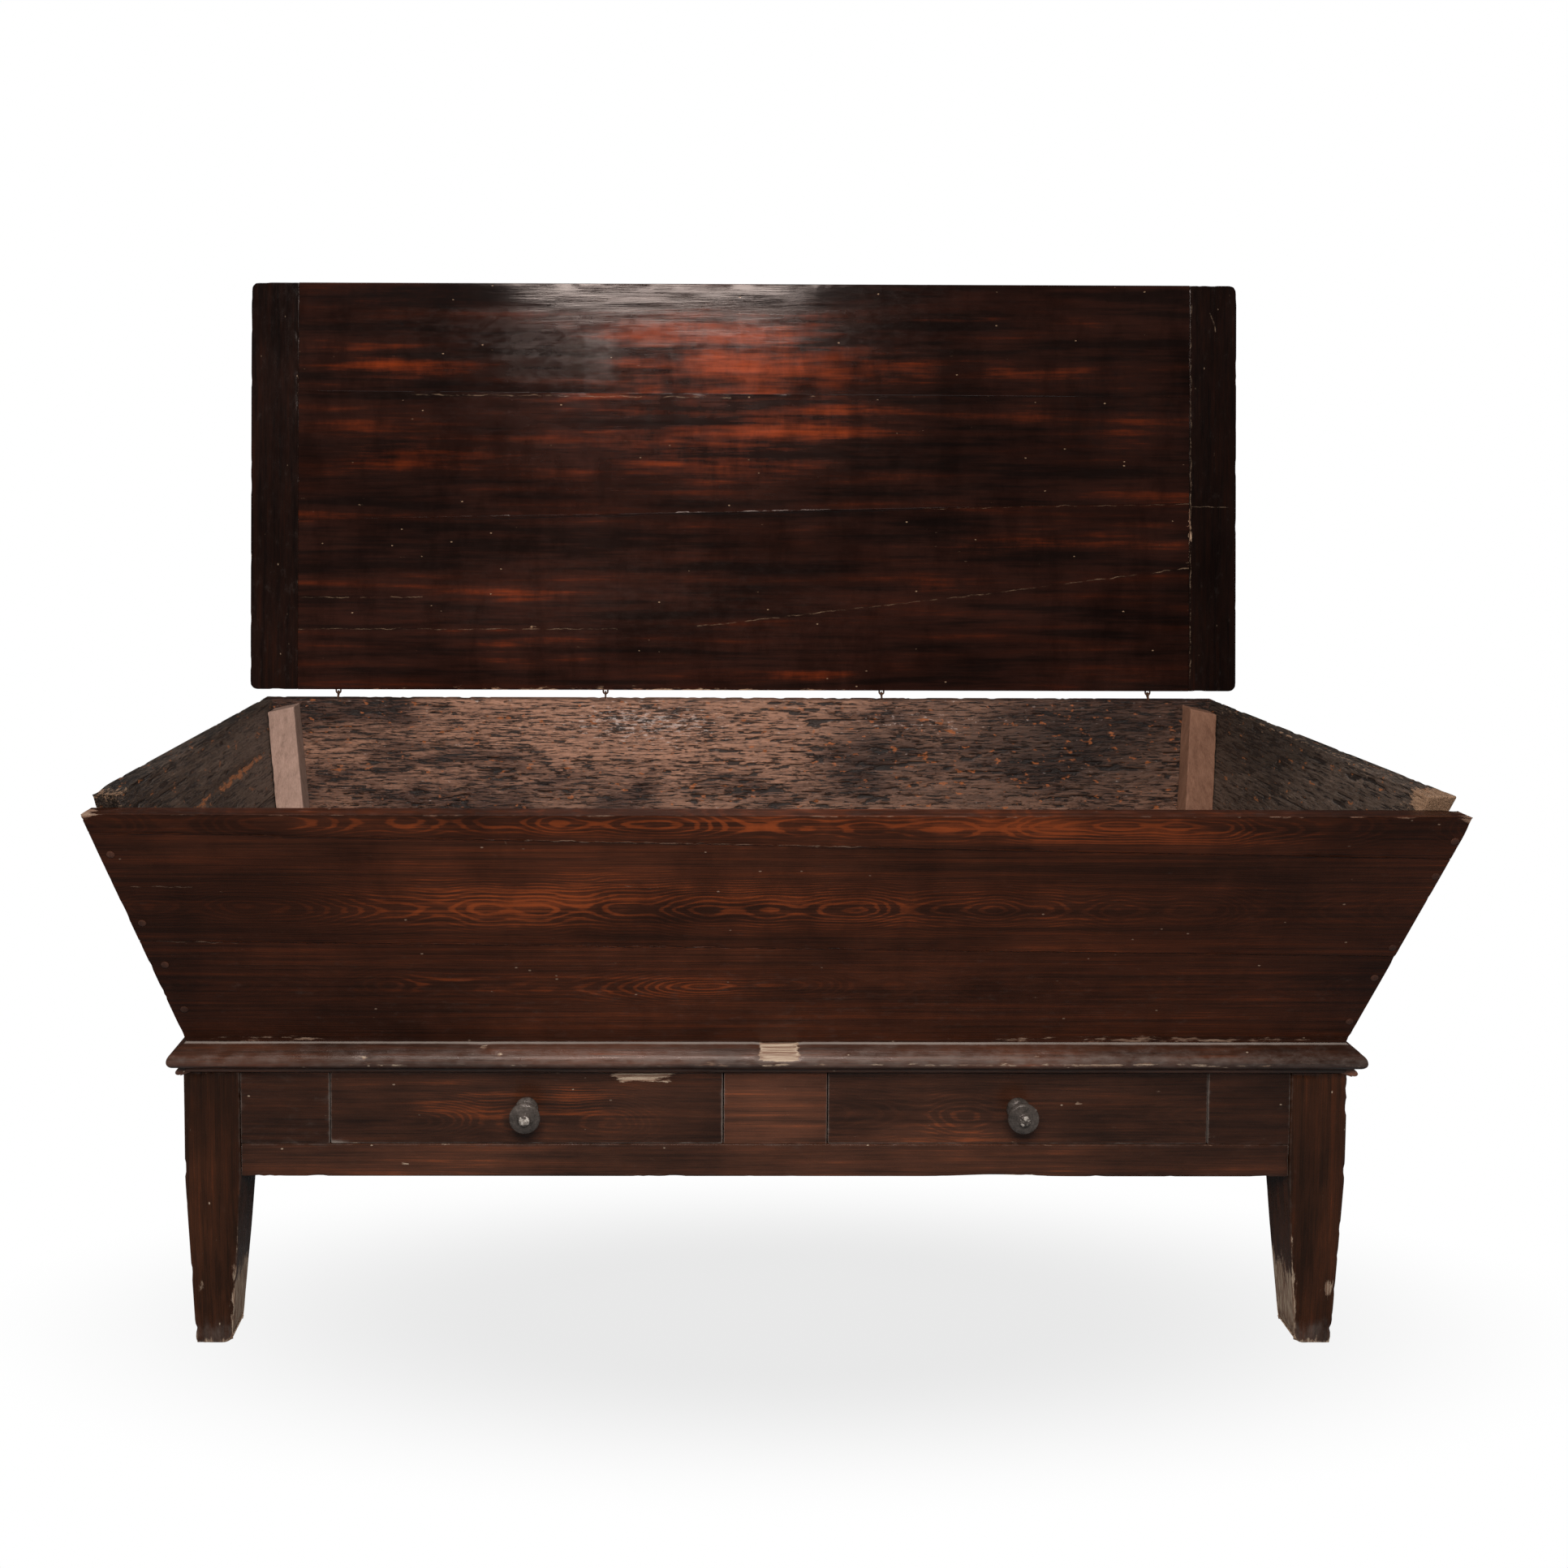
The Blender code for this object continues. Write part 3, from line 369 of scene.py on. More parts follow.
class Graph:
    """The nodes of a material or a group, with short ways to add them."""

    def __init__(self, tree: bpy.types.NodeTree) -> None:
        """Work on one tree of nodes."""
        self.tree = tree

    def add(self, kind: str, settings: dict | None = None, **inputs: object) -> bpy.types.Node:
        """Add a node.

        Args:
            kind: The node's type.
            settings: Its properties.
            **inputs: A constant or an output for each input, with _ for a space in its name.

        Returns:
            The node.
        """
        node = self.tree.nodes.new(kind)
        for name, value in (settings or {}).items():
            setattr(node, name, value)
        for name, value in inputs.items():
            self.feed(node.inputs[name.replace("_", " ")], value)
        return node

    def feed(self, socket: bpy.types.NodeSocket, value: object) -> None:
        """Link a socket to an output, or set its constant."""
        if isinstance(value, Value):
            self.tree.links.new(value.socket, socket)
        else:
            socket.default_value = value

    def value(self, kind: str, settings: dict | None = None, output: int | str = 0,
              **inputs: object) -> Value:
        """Add a node and take one of its outputs."""
        return Value(self, self.add(kind, settings, **inputs).outputs[output])

    def math(self, operation: str, first: object, second: object = 0.0,
             clamp: bool = False) -> Value:
        """One sum on two values."""
        node = self.add("ShaderNodeMath", {"operation": operation, "use_clamp": clamp})
        for socket, value in zip(node.inputs, (first, second)):
            self.feed(socket, value)
        return Value(self, node.outputs[0])

    def vector(self, operation: str, *vectors: object, output: int | str = 0) -> Value:
        """One sum on vectors."""
        node = self.add("ShaderNodeVectorMath", {"operation": operation})
        for socket, vector in zip(node.inputs, vectors):
            self.feed(socket, vector)
        return Value(self, node.outputs[output])

    def mix(self, share: object, first: object, second: object, blend: str = "MIX") -> Value:
        """Mix two colours."""
        node = self.add("ShaderNodeMix", {"data_type": "RGBA", "blend_type": blend})
        self.feed(node.inputs[0], share)
        for index, colour in ((6, first), (7, second)):
            self.feed(node.inputs[index],
                      (*colour, 1.0) if isinstance(colour, tuple) else colour)
        return Value(self, node.outputs[2])

    def noise(self, places: Value, cells: tuple[float, ...], detail: float, rough: float) -> Value:
        """Noise in cells per metre, given along and across the grain or on each axis."""
        stretched = self.vector("MULTIPLY", places, (*cells, cells[-1])[:3])
        return self.value("ShaderNodeTexNoise", Vector=stretched, Scale=1.0, Detail=detail,
                          Roughness=rough)

    def pattern(self, places: Value, *patterns: Pattern) -> list[Value]:
        """One noise for each pattern."""
        return [self.noise(places, *pattern.value) for pattern in patterns]

    def layer(self, layer: Layer | str) -> Value:
        """A piece's own layer."""
        name = layer.value if isinstance(layer, Layer) else layer
        return self.value("ShaderNodeAttribute", {"attribute_name": name}, "Fac")

    def places(self) -> Value:
        """Object coordinates."""
        return self.value("ShaderNodeTexCoord", output="Object")

    def turned(self, grain: Grain) -> Value:
        """Object coordinates turned to the grain."""
        return self.value("ShaderNodeMapping", Vector=self.places(), Rotation=grain.value)

    def grain_places(self, grain: Grain) -> Value:
        """Object coordinates turned to the grain and moved by the piece's own shift."""
        shift = self.layer("shift")
        moves = {axis: shift * size for axis, size in zip("XYZ", SHIFT_SIZE)}
        return self.vector("ADD", self.turned(grain), self.value("ShaderNodeCombineXYZ", **moves))

    def surface(self, colour: Value, rough: Value, shine: float, height: Value, bump: float,
                deep: float) -> None:
        """Give the shader its colour, roughness, shine and bump.

        Args:
            colour: The wood's own colour.
            rough: Its roughness.
            shine: How strongly it mirrors.
            height: Its small ups and downs.
            bump: How much of them shows.
            deep: How deep they are.
        """
        uneven = self.value("ShaderNodeBump", Strength=bump, Distance=deep, Height=height)
        for name, value in (("Base Color", colour), ("Roughness", rough),
                            ("Specular IOR Level", shine), ("Normal", uneven)):
            self.feed(self.tree.nodes["Principled BSDF"].inputs[name], value)


def new_material(name: str) -> Graph:
    """The nodes of a new material."""
    material = bpy.data.materials.new(name)
    material.use_nodes = True
    return Graph(material.node_tree)


def scratch_group() -> bpy.types.NodeTree:
    """A node group that gives 1 on a line between two points and 0 away from it."""
    if "scratch" in bpy.data.node_groups:
        return bpy.data.node_groups["scratch"]
    tree = bpy.data.node_groups.new("scratch", "ShaderNodeTree")
    for name, kind in (("Place", "Vector"), ("Start", "Vector"), ("Run", "Vector"),
                       ("Width", "Float")):
        tree.interface.new_socket(name, in_out="INPUT", socket_type=f"NodeSocket{kind}")
    tree.interface.new_socket("Line", in_out="OUTPUT", socket_type="NodeSocketFloat")
    graph = Graph(tree)
    place, start, run, width = (Value(graph, socket) for socket in
                                list(graph.add("NodeGroupInput").outputs)[:4])
    away = graph.vector("SUBTRACT", place, start)
    along, whole = (graph.vector("DOT_PRODUCT", vector, run, output="Value")
                    for vector in (away, run))
    share = graph.math("DIVIDE", along, whole, clamp=True)
    foot = graph.value("ShaderNodeVectorMath", {"operation": "SCALE"}, Vector=run, Scale=share)
    far = graph.vector("DISTANCE", away, foot, output="Value")
    graph.add("NodeGroupOutput", Line=far.span(0.0, width, 1.0, 0.0))
    return tree


@dataclass(frozen=True)
class Finish:
    """A finish by name, made once for each direction of grain."""

    name: str

    def material(self, grain: Grain) -> bpy.types.Material:
        """The finish for one direction of grain."""
        name = f"{self.name}_{grain.name.lower()}"
        if name not in bpy.data.materials:
            self.paint(new_material(name), grain)
        return bpy.data.materials[name]

    def paint(self, graph: Graph, grain: Grain) -> None:
        """Build the finish's nodes; each kind of finish has its own way."""
        raise NotImplementedError


@dataclass(frozen=True)
class WoodFinish(Finish):
    """A stained and worn wood: its tones, grain, gloss and scratches."""

    dark: Triple
    middle: Triple
    warm: Triple
    red: Triple
    pale: Triple
    dust: Triple = (0.17, 0.135, 0.115)
    soot: Triple = (0.006, 0.0045, 0.0042)
    streak: Pair = (3.0, 120.0)
    weave: Triple = (0.55, 0.30, 0.15)
    grit: float = 0.64
    contrast: Pair = (0.36, 0.64)
    punch: float = 1.3
    cloud: float = 0.30
    mottle: float = 0.7
    hot: float = 0.64
    melt: float = 0.24
    ring: float = 0.03
    figure: float = 0.0
    ring_pitch: float = 0.0030
    blotch: Pair = (0.70, 1.30)
    grime: float = 0.0
    edge_wear: float = 0.35
    edge_dust: float = 0.0
    specks: float = 0.6
    rough: Pair = (0.26, 0.44)
    polish: float = 1.0
    shine: float = 0.35
    bump: float = 0.5
    scratches: tuple[Scratch, ...] = ()

    def paint(self, graph: Graph, grain: Grain) -> None:
        """Build the finish from streaks, stains, dust and worn places, in that order.

        Args:
            graph: The material's nodes.
            grain: The way the wood runs.
        """
        places = graph.grain_places(grain)
        along, across = self.streak
        streak = graph.noise(places, (along, across), 7.0, self.grit)
        thread = graph.noise(places, (along * THREADS[0], across * THREADS[1]), 4.0, 0.6)
        fibre, blotch, fine, chips = graph.pattern(
            places, Pattern.FIBRE, Pattern.BLOTCH, Pattern.FINE, Pattern.CHIPS)
        red, edge = graph.layer(Layer.RED), graph.layer("edge")
        ring = self.ring_lines(graph, grain, places) * (red * self.figure + self.ring)
        cloud = (blotch - 0.5) * self.cloud
        tone = sum(lines * share for lines, share in zip((streak, thread, fibre), self.weave))
        tone = (tone - 0.5) * self.punch + 0.5 + ring + cloud * 0.4
        low, high = self.contrast
        half = (low + high) / 2
        colour = graph.mix(tone.span(low, half + 0.02), self.dark, self.middle)
        colour = graph.mix(tone.span(half, high + 0.04), colour, self.warm)

        # Reds, lighter and darker parts, and painted light and shade from the light layer.
        hot = tone + red * 0.28 + cloud
        level = blotch.span(0.32, 0.68, *self.blotch)
        if self.grime > 0:
            drip, = graph.pattern(graph.places(), Pattern.DRIP)
            level = level * drip.span(0.44, 0.64, 1.0, 1.0 - self.grime)
            hot = hot - (drip - 0.5) * (1.1 * self.grime)
        colour = graph.mix(hot.span(self.hot, self.hot + self.melt), colour, self.red)
        level = level * (graph.layer(Layer.LIGHT) + 1.0)
        grey = graph.value("ShaderNodeCombineColor", Red=level, Green=level, Blue=level)
        colour = graph.mix(1.0, colour, grey, "MULTIPLY")

        # Soot, dust and places worn to the bare wood.
        speckle = fine - 0.5
        soot = (graph.layer(Layer.SOOT) + speckle * 0.8).span(0.15, 0.85, 0.0, 0.85)
        colour = graph.mix(soot, colour, self.soot)
        dust = graph.layer(Layer.DUST) + edge * self.edge_dust + speckle * self.mottle
        dust = dust.span(0.06, 0.95)
        colour = graph.mix(dust, colour, self.dust)
        worn = edge * self.edge_wear + graph.layer(Layer.WORN) + (chips - 0.5) * 1.9
        worn = worn.span(0.38, 0.62)
        bare = tuple(0.6 * red + 0.4 * pale * 0.6 for red, pale in zip(self.red, self.pale))
        colour = graph.mix(worn, colour, graph.mix(thread.span(0.38, 0.62), bare, self.pale))

        # Pale specks, scratches and gloss.
        dots = graph.add("ShaderNodeTexVoronoi", Scale=1.0,
                         Vector=graph.vector("MULTIPLY", places, SPECK_CELLS))
        size, pick = (Value(graph, dots.outputs[name]) for name in ("Distance", "Color"))
        chosen = graph.value("ShaderNodeSeparateColor", Color=pick)
        speck = size.span(0.06, 0.14, 1.0, 0.0) * chosen.span(0.94, 0.96)
        colour = graph.mix(speck * self.specks, colour, self.pale)
        height = thread * 0.6 + fibre * 0.4 + fine * 0.3 - speck * 0.4
        for dark, share, tint in ((False, 0.42, self.pale), (True, 0.9, self.soot)):
            if any(line.dark == dark for line in self.scratches):
                lines = self.scratch_lines(graph, dark)
                colour = graph.mix(lines * share, colour, tint)
                height = height - lines * 0.4
        rough = fine.span(0.3, 0.7, *self.rough) * soot.span(0.0, 0.6, 1.0, self.polish)
        rough = graph.math("ADD", rough + dust * 0.3, worn * 0.2, clamp=True)
        graph.surface(colour, rough, self.shine, height, self.bump, 0.0012)

    def ring_lines(self, graph: Graph, grain: Grain, places: Value) -> Value:
        """Thin year rings that run along the grain and arch around the board's heart.

        Args:
            graph: The material's nodes.
            grain: The way the wood runs.
            places: Places along the grain, moved by the piece's own shift.

        Returns:
            1 on a ring and 0 between rings.
        """
        bend, sunk, shake = graph.pattern(
            places, Pattern.RING_BEND, Pattern.RING_DEPTH, Pattern.RING_SHAKE)
        rise = graph.value("ShaderNodeSeparateXYZ", output="Z", Vector=graph.turned(grain))
        off = rise - graph.layer("heart") + (bend - 0.5) * 0.03
        sunk = sunk.span(0.32, 0.68, 0.003, 0.040)
        far = graph.math("SQRT", off * off + sunk * sunk) + shake * 0.006
        return graph.math("SINE", far * (2 * math.pi / self.ring_pitch)).span(0.0, 0.95)

    def scratch_lines(self, graph: Graph, dark: bool) -> Value:
        """The finish's scratches, or its dark holes and cracks, in one value.

        Args:
            graph: The material's nodes.
            dark: Whether to take the dark ones.

        Returns:
            1 on a line and 0 beside it.
        """
        flat = graph.vector("MULTIPLY", graph.places(), (1.0, 0.0, 1.0))
        stray = graph.value("ShaderNodeTexNoise", output="Color", Vector=flat, Scale=45.0,
                            Detail=4.0)
        strayed = graph.vector("MULTIPLY_ADD", stray, (2 * SHAKE, 0.0, 2 * SHAKE), flat)
        total: object = 0.0
        for line in self.scratches:
            if line.dark == dark:
                (x, z), (end_x, end_z) = line.start, line.end
                stroke = graph.value(
                    "ShaderNodeGroup", {"node_tree": scratch_group()}, Place=strayed,
                    Start=(x + SHAKE, 0.0, z + SHAKE), Run=(end_x - x, 0.0, end_z - z),
                    Width=line.width)
                total = graph.math("MAXIMUM", total, stroke)
        if dark:
            return total
        broken, = graph.pattern(flat, Pattern.BROKEN)
        return total * broken.span(0.44, 0.62)


@dataclass(frozen=True)
class PittedFinish(Finish):
    """Bare wood that dough and water have raised and pitted."""

    base: Triple
    bright: Triple
    dark: Triple
    spot: Triple
    pale: Triple
    rough: Pair = (0.30, 0.55)
    shine: float = 0.5

    def paint(self, graph: Graph, grain: Grain) -> None:
        """Build the finish from flakes, cracks, rusty spots and pale places.

        Args:
            graph: The material's nodes.
            grain: The way the wood runs.
        """
        places = graph.grain_places(grain)
        patch, thread, crack, gash, flake, spots = graph.pattern(
            places, Pattern.PATCH, Pattern.THREAD, Pattern.CRACK, Pattern.GASH, Pattern.FLAKE,
            Pattern.SPOTS)
        # Lighter patches, with the painted light and shade of the light layer.
        light = patch + graph.layer(Layer.LIGHT)
        colour = graph.mix(light.span(0.42, 0.60), self.base, self.bright)
        shade = tuple(0.45 * value for value in self.base)
        for lines, high in ((thread, 0.62), (flake, 0.52)):
            colour = graph.mix(lines.span(0.36, high, 0.5, 0.0), colour, shade)
        soot = graph.layer(Layer.SOOT) + (patch - 0.5) * 1.2
        colour = graph.mix(soot.span(0.05, 0.95, 0.0, 0.85), colour, self.dark)
        lean = 0.5 - patch
        crack = crack + lean * 0.25
        deep = crack.span(0.545, 0.585)
        for hole in ((gash + lean * 0.3).span(0.585, 0.620), graph.layer("pits").span(0.60, 0.95)):
            deep = graph.math("MAXIMUM", deep, hole)
        colour = graph.mix(deep * 0.94, colour, self.dark)
        red = spots + graph.layer(Layer.RED) * 0.14 + crack.span(0.50, 0.56) * 0.04
        colour = graph.mix(red.span(0.665, 0.715, 0.0, 0.85), colour, self.spot)
        pale = flake + graph.layer(Layer.WORN) * 0.5 + graph.layer("edge") * 0.05
        colour = graph.mix(pale.span(0.64, 0.74, 0.0, 0.7), colour, self.pale)
        height = thread * 0.35 - deep * 0.55 + flake * 1.1
        graph.surface(colour, flake.span(0.35, 0.65, *self.rough), self.shine, height, 0.9, 0.0020)


@dataclass(frozen=True)
class IronFinish:
    """Rusty wire."""

    name: str
    rust: Triple
    dark: Triple
    metal: float = 0.35
    shine: float = 0.5

    def material(self) -> bpy.types.Material:
        """The rusty material."""
        graph = new_material(self.name)
        scale, = graph.pattern(graph.places(), Pattern.RUST)
        colour = graph.mix(scale.span(0.35, 0.65), self.dark, self.rust)
        graph.surface(colour, scale.span(0.3, 0.7, 0.5, 0.85), self.shine, scale, 0.6, 0.0006)
        graph.tree.nodes["Principled BSDF"].inputs["Metallic"].default_value = self.metal
        return bpy.data.materials[self.name]


STAINED = WoodFinish(
    "stained_pine", dark=(0.0170, 0.0069, 0.0041), middle=(0.0300, 0.0109, 0.0059),
    warm=(0.0500, 0.0156, 0.0072), red=(0.115, 0.026, 0.0075), pale=(0.40, 0.30, 0.215),
    contrast=(0.40, 0.62), edge_wear=0.20, edge_dust=0.22, specks=0.8, bump=0.4, figure=0.10,
    rough=(0.22, 0.40), shine=0.45, cloud=0.60, punch=0.95, grit=0.56, blotch=(0.64, 1.36))
MOULDED = replace(STAINED, name="moulded_pine", rough=(0.30, 0.42), shine=0.9)
LEG = replace(
    STAINED, name="leg_pine", dark=(0.0170, 0.0062, 0.0027), middle=(0.0300, 0.0098, 0.0041),
    warm=(0.0500, 0.0140, 0.0050), shine=0.38)
LID = WoodFinish(
    "lid_pine", dark=(0.0075, 0.0035, 0.0027), middle=(0.0160, 0.0055, 0.0037),
    warm=(0.0310, 0.0075, 0.0038), red=(0.125, 0.0185, 0.0042), pale=(0.30, 0.19, 0.115),
    streak=(3.2, 52.0), weave=(0.70, 0.20, 0.10), grit=0.54, contrast=(0.36, 0.68), punch=1.25,
    cloud=0.36, mottle=0.15, hot=0.615, melt=0.44, ring=0.0, grime=0.30, edge_wear=0.12,
    specks=0.7, rough=(0.11, 0.19), polish=0.45, bump=0.10, scratches=(
        Scratch((-0.571, 1.279), (-0.024, 1.275), 0.0015),
        Scratch((-0.747, 0.937), (-0.542, 0.9375)),
        Scratch((-0.754, 0.8836), (-0.214, 0.885)),
        Scratch((-0.0776, 0.8895), (0.40, 0.945), 0.0012),
        Scratch((0.40, 0.945), (0.751, 0.990), 0.0012),
        Scratch((0.30, 1.089), (0.751, 1.098), 0.0006),
        Scratch((-0.578, 1.396), (-0.577, 1.396), 0.0042, True),
        Scratch((-0.4535, 1.3636), (-0.4525, 1.3636), 0.0042, True),
        Scratch((-0.488, 1.069), (0.30, 1.088), 0.0012, True)))
CLEAT = WoodFinish(
    "cleat_pine", dark=(0.0050, 0.0026, 0.0021), middle=(0.0085, 0.0037, 0.0027),
    warm=(0.0130, 0.0045, 0.0028), red=(0.110, 0.024, 0.0065), pale=(0.30, 0.20, 0.13),
    hot=0.74, ring=0.0, edge_wear=0.18, specks=0.5, rough=(0.16, 0.30), bump=0.15, scratches=(
        Scratch((0.755, 1.093), (0.83, 1.093), 0.0007),
        Scratch((0.786, 1.42), (0.796, 1.39), 0.0015),
        Scratch((0.7535, 1.44), (0.7535, 0.80))))
FRONT = WoodFinish(
    "front_pine", dark=(0.0165, 0.0055, 0.0029), middle=(0.0280, 0.0082, 0.0039),
    warm=(0.0460, 0.0113, 0.0043), red=(0.110, 0.0225, 0.0060), pale=(0.30, 0.20, 0.14),
    punch=1.15, ring=0.035, figure=0.20, shine=0.20, cloud=0.42, melt=0.30, grime=0.20,
    edge_wear=0.12, rough=(0.30, 0.46), bump=0.3, streak=(1.8, 150.0), contrast=(0.40, 0.62),
    blotch=(0.72, 1.28), scratches=(
        Scratch((-0.781, 0.648), (-0.708, 0.6485)),
        Scratch((-0.182, 0.6495), (-0.143, 0.6495)),
        Scratch((-0.779, 0.5695), (-0.656, 0.5665)),
        Scratch((-0.326, 0.715), (-0.322, 0.706), 0.0013),
        Scratch((-0.767, 0.7225), (-0.056, 0.7085), 0.0007, True),
        Scratch((-0.056, 0.7085), (0.816, 0.6905), 0.0007, True),
        Scratch((-0.30, 0.7145), (0.10, 0.7065)),
        Scratch((-0.779, 0.5695), (0.779, 0.5490), 0.0006, True)))
PEG = WoodFinish(
    "peg_pine", dark=(0.035, 0.0150, 0.0100), middle=(0.050, 0.020, 0.0125),
    warm=(0.065, 0.026, 0.016), red=(0.10, 0.035, 0.015), pale=(0.30, 0.20, 0.14),
    rough=(0.35, 0.5), bump=0.3)
PITTED = PittedFinish(
    "pitted_pine", base=(0.056, 0.0235, 0.0143), bright=(0.285, 0.139, 0.086),
    dark=(0.0062, 0.0046, 0.0040), spot=(0.28, 0.080, 0.022), pale=(0.40, 0.31, 0.27))
SCRUBBED = PittedFinish(
    "scrubbed_pine", base=(0.036, 0.025, 0.0185), bright=(0.080, 0.055, 0.041),
    dark=(0.0085, 0.0065, 0.0055), spot=(0.22, 0.075, 0.026), pale=(0.27, 0.155, 0.090))
BATTEN = WoodFinish(
    "newer_batten", dark=(0.19, 0.115, 0.086), middle=(0.26, 0.160, 0.121),
    warm=(0.31, 0.195, 0.15), red=(0.30, 0.17, 0.12), pale=(0.42, 0.30, 0.24), edge_wear=0.1,
    specks=0.1, blotch=(0.85, 1.15), rough=(0.55, 0.75))
OLD_BATTEN = WoodFinish(
    "older_batten", dark=(0.125, 0.056, 0.033), middle=(0.165, 0.078, 0.047),
    warm=(0.20, 0.098, 0.060), red=(0.22, 0.09, 0.045), pale=(0.36, 0.23, 0.15), edge_wear=0.1,
    specks=0.1, blotch=(0.85, 1.15), rough=(0.5, 0.7))
RAW = WoodFinish(
    "raw_drawer_pine", dark=(0.20, 0.125, 0.070), middle=(0.30, 0.195, 0.115),
    warm=(0.38, 0.25, 0.15), red=(0.36, 0.21, 0.11), pale=(0.46, 0.34, 0.23), ring=0.10,
    ring_pitch=0.0045, edge_wear=0.1, specks=0.2, blotch=(0.75, 1.2), rough=(0.55, 0.8))
KNOB = WoodFinish(
    "turned_knob", dark=(0.030, 0.024, 0.020), middle=(0.060, 0.048, 0.041),
    warm=(0.095, 0.077, 0.066), red=(0.11, 0.08, 0.06), pale=(0.46, 0.41, 0.36), edge_wear=0.3,
    rough=(0.16, 0.28), shine=0.6)
IRON = IronFinish("rusty_wire", rust=(0.14, 0.055, 0.024), dark=(0.030, 0.020, 0.016))


def dress(piece: bpy.types.Object, material: bpy.types.Material, body: str, slot: str,
          *nodes: str) -> None:
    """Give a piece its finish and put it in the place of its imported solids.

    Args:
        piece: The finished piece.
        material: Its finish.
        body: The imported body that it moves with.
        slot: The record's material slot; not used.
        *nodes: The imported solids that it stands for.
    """
    piece.data.materials.clear()
    piece.data.materials.append(material)
    if nodes:
        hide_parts(*nodes)
    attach(piece, body)
    log.info("%s: %d faces, rides on %s", piece.name, len(piece.data.polygons), body)


def dress_solid(node: str, material: bpy.types.Material) -> None:
    """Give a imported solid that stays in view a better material."""
    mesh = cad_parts[node].data
    mesh.materials.clear()
    mesh.materials.append(material)
    log.info("%s: packed solid with %s", node, material.name)


@dataclass
class Timber:
    """A sawn piece with rounded arrises, cut into cells that are fine enough to wear."""

    name: str
    size: Triple
    place: Placing
    seed: int
    cells: Triple
    arris: float
    wear: Wear
    marks: tuple[Mark, ...] = ()
    show: Show = Show.FRONT
    tight: tuple[tuple[int, int], ...] = ()
    coats: tuple[tuple[int, int, Layer, float], ...] = ()
    heart: float = 0.0

    def cell_lines(self, axis: int) -> np.ndarray:
        """Places of the cell lines along one direction, closer at the arrises."""
        length, arris = self.size[axis], self.arris
        count = max(1, round((length - 2 * arris) / self.cells[axis]))
        inner = np.linspace(arris, length - arris, count + 1)
        if count > 3:
            first, last = arris + CLOSE_LINE, length - arris - CLOSE_LINE
            inner = np.concatenate((inner[:1], [first], inner[1:-1], [last], inner[-1:]))
        bend = ARRIS_SHARE * arris
        return np.concatenate(([0.0, bend], inner, [length - bend, length]))

    def build(self) -> bpy.types.Object:
        """Model the piece from a grid.

        Returns:
            The worn piece, in its place, with its layers.
        """
        lines = [self.cell_lines(axis) for axis in range(3)]
        along, across, through = (len(places) - 1 for places in lines)
        piece, raw = extruded(f"aged_{self.name}", through, bpy.ops.mesh.primitive_grid_add,
                              x_subdivisions=along, y_subdivisions=across, size=1)
        steps = (raw + np.array((0.5, 0.5, 0.0))) * np.array((along, across, 1))
        steps = np.rint(steps).astype(int)
        square = points(*(lines[axis][steps[:, axis]] for axis in range(3)))

        size = np.array(self.size)
        core = np.clip(square, self.arris, size - self.arris)
        outward = square - core
        outward /= np.linalg.norm(outward, axis=1, keepdims=True)
        round_off = core + outward * self.arris
        edge = np.sort(np.minimum(square, size - square), axis=1)[:, 1]
        depth, pits = self.wear.depth(round_off, outward, edge, self.seed)
        for axis, side in self.tight:
            depth = depth * (1 - TIGHT_HOLD * np.clip(side * outward[:, axis], 0.0, 1.0) ** 2)

        room = self.place(round_off)
        first, second = (room[:, axis] for axis in self.show.value)
        layers = {layer.value: np.zeros(len(room)) for layer in Layer}
        for axis, side, layer, amount in self.coats:
            layers[layer.value] += amount * np.clip(side * outward[:, axis], 0.0, 1.0) ** 2
        for mark in self.marks:
            cover = mark.cover(first, second, outward)
            layers[mark.layer.value] += mark.amount * cover
            depth = depth + mark.depth * cover
        layers |= {"edge": np.exp(-edge / EDGE_FADE), "pits": pits, "heart": self.heart}
        return shape(piece, self.place(round_off - outward * depth[:, None]), layers, self.seed)

    def fit(self, finish: Finish, grain: Grain, slot: str, body: str = "stand") -> None:
        """Model the piece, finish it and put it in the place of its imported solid."""
        dress(self.build(), finish.material(grain), body, slot, self.name)


@dataclass
class Turned:
    """A round piece, from a profile of (radius share, height)."""

    name: str
    profile: tuple[Pair, ...]
    radius: float
    seed: int
    sides: int
    tip_wear: float = 0.0
    tip_share: float = 0.36

    def build(self, placing: Matrix) -> bpy.types.Object:
        """Model the piece from a circle.

        Args:
            placing: Takes the piece, standing on +Z, to its place.

        Returns:
            The turned piece.
        """
        piece, raw = extruded(
            f"turned_{self.name}", len(self.profile) - 1, bpy.ops.mesh.primitive_circle_add,
            vertices=self.sides, radius=1.0, fill_type="NGON")
        share, up = np.array(self.profile)[np.rint(raw[:, 2]).astype(int)].T
        places = points(raw[:, 0] * share * self.radius, raw[:, 1] * share * self.radius, up)
        worn = {Layer.WORN.value: self.tip_wear * (share < self.tip_share)}
        shape(piece, places, worn, self.seed, blunt=50.0)
        piece.data.transform(placing)
        return piece


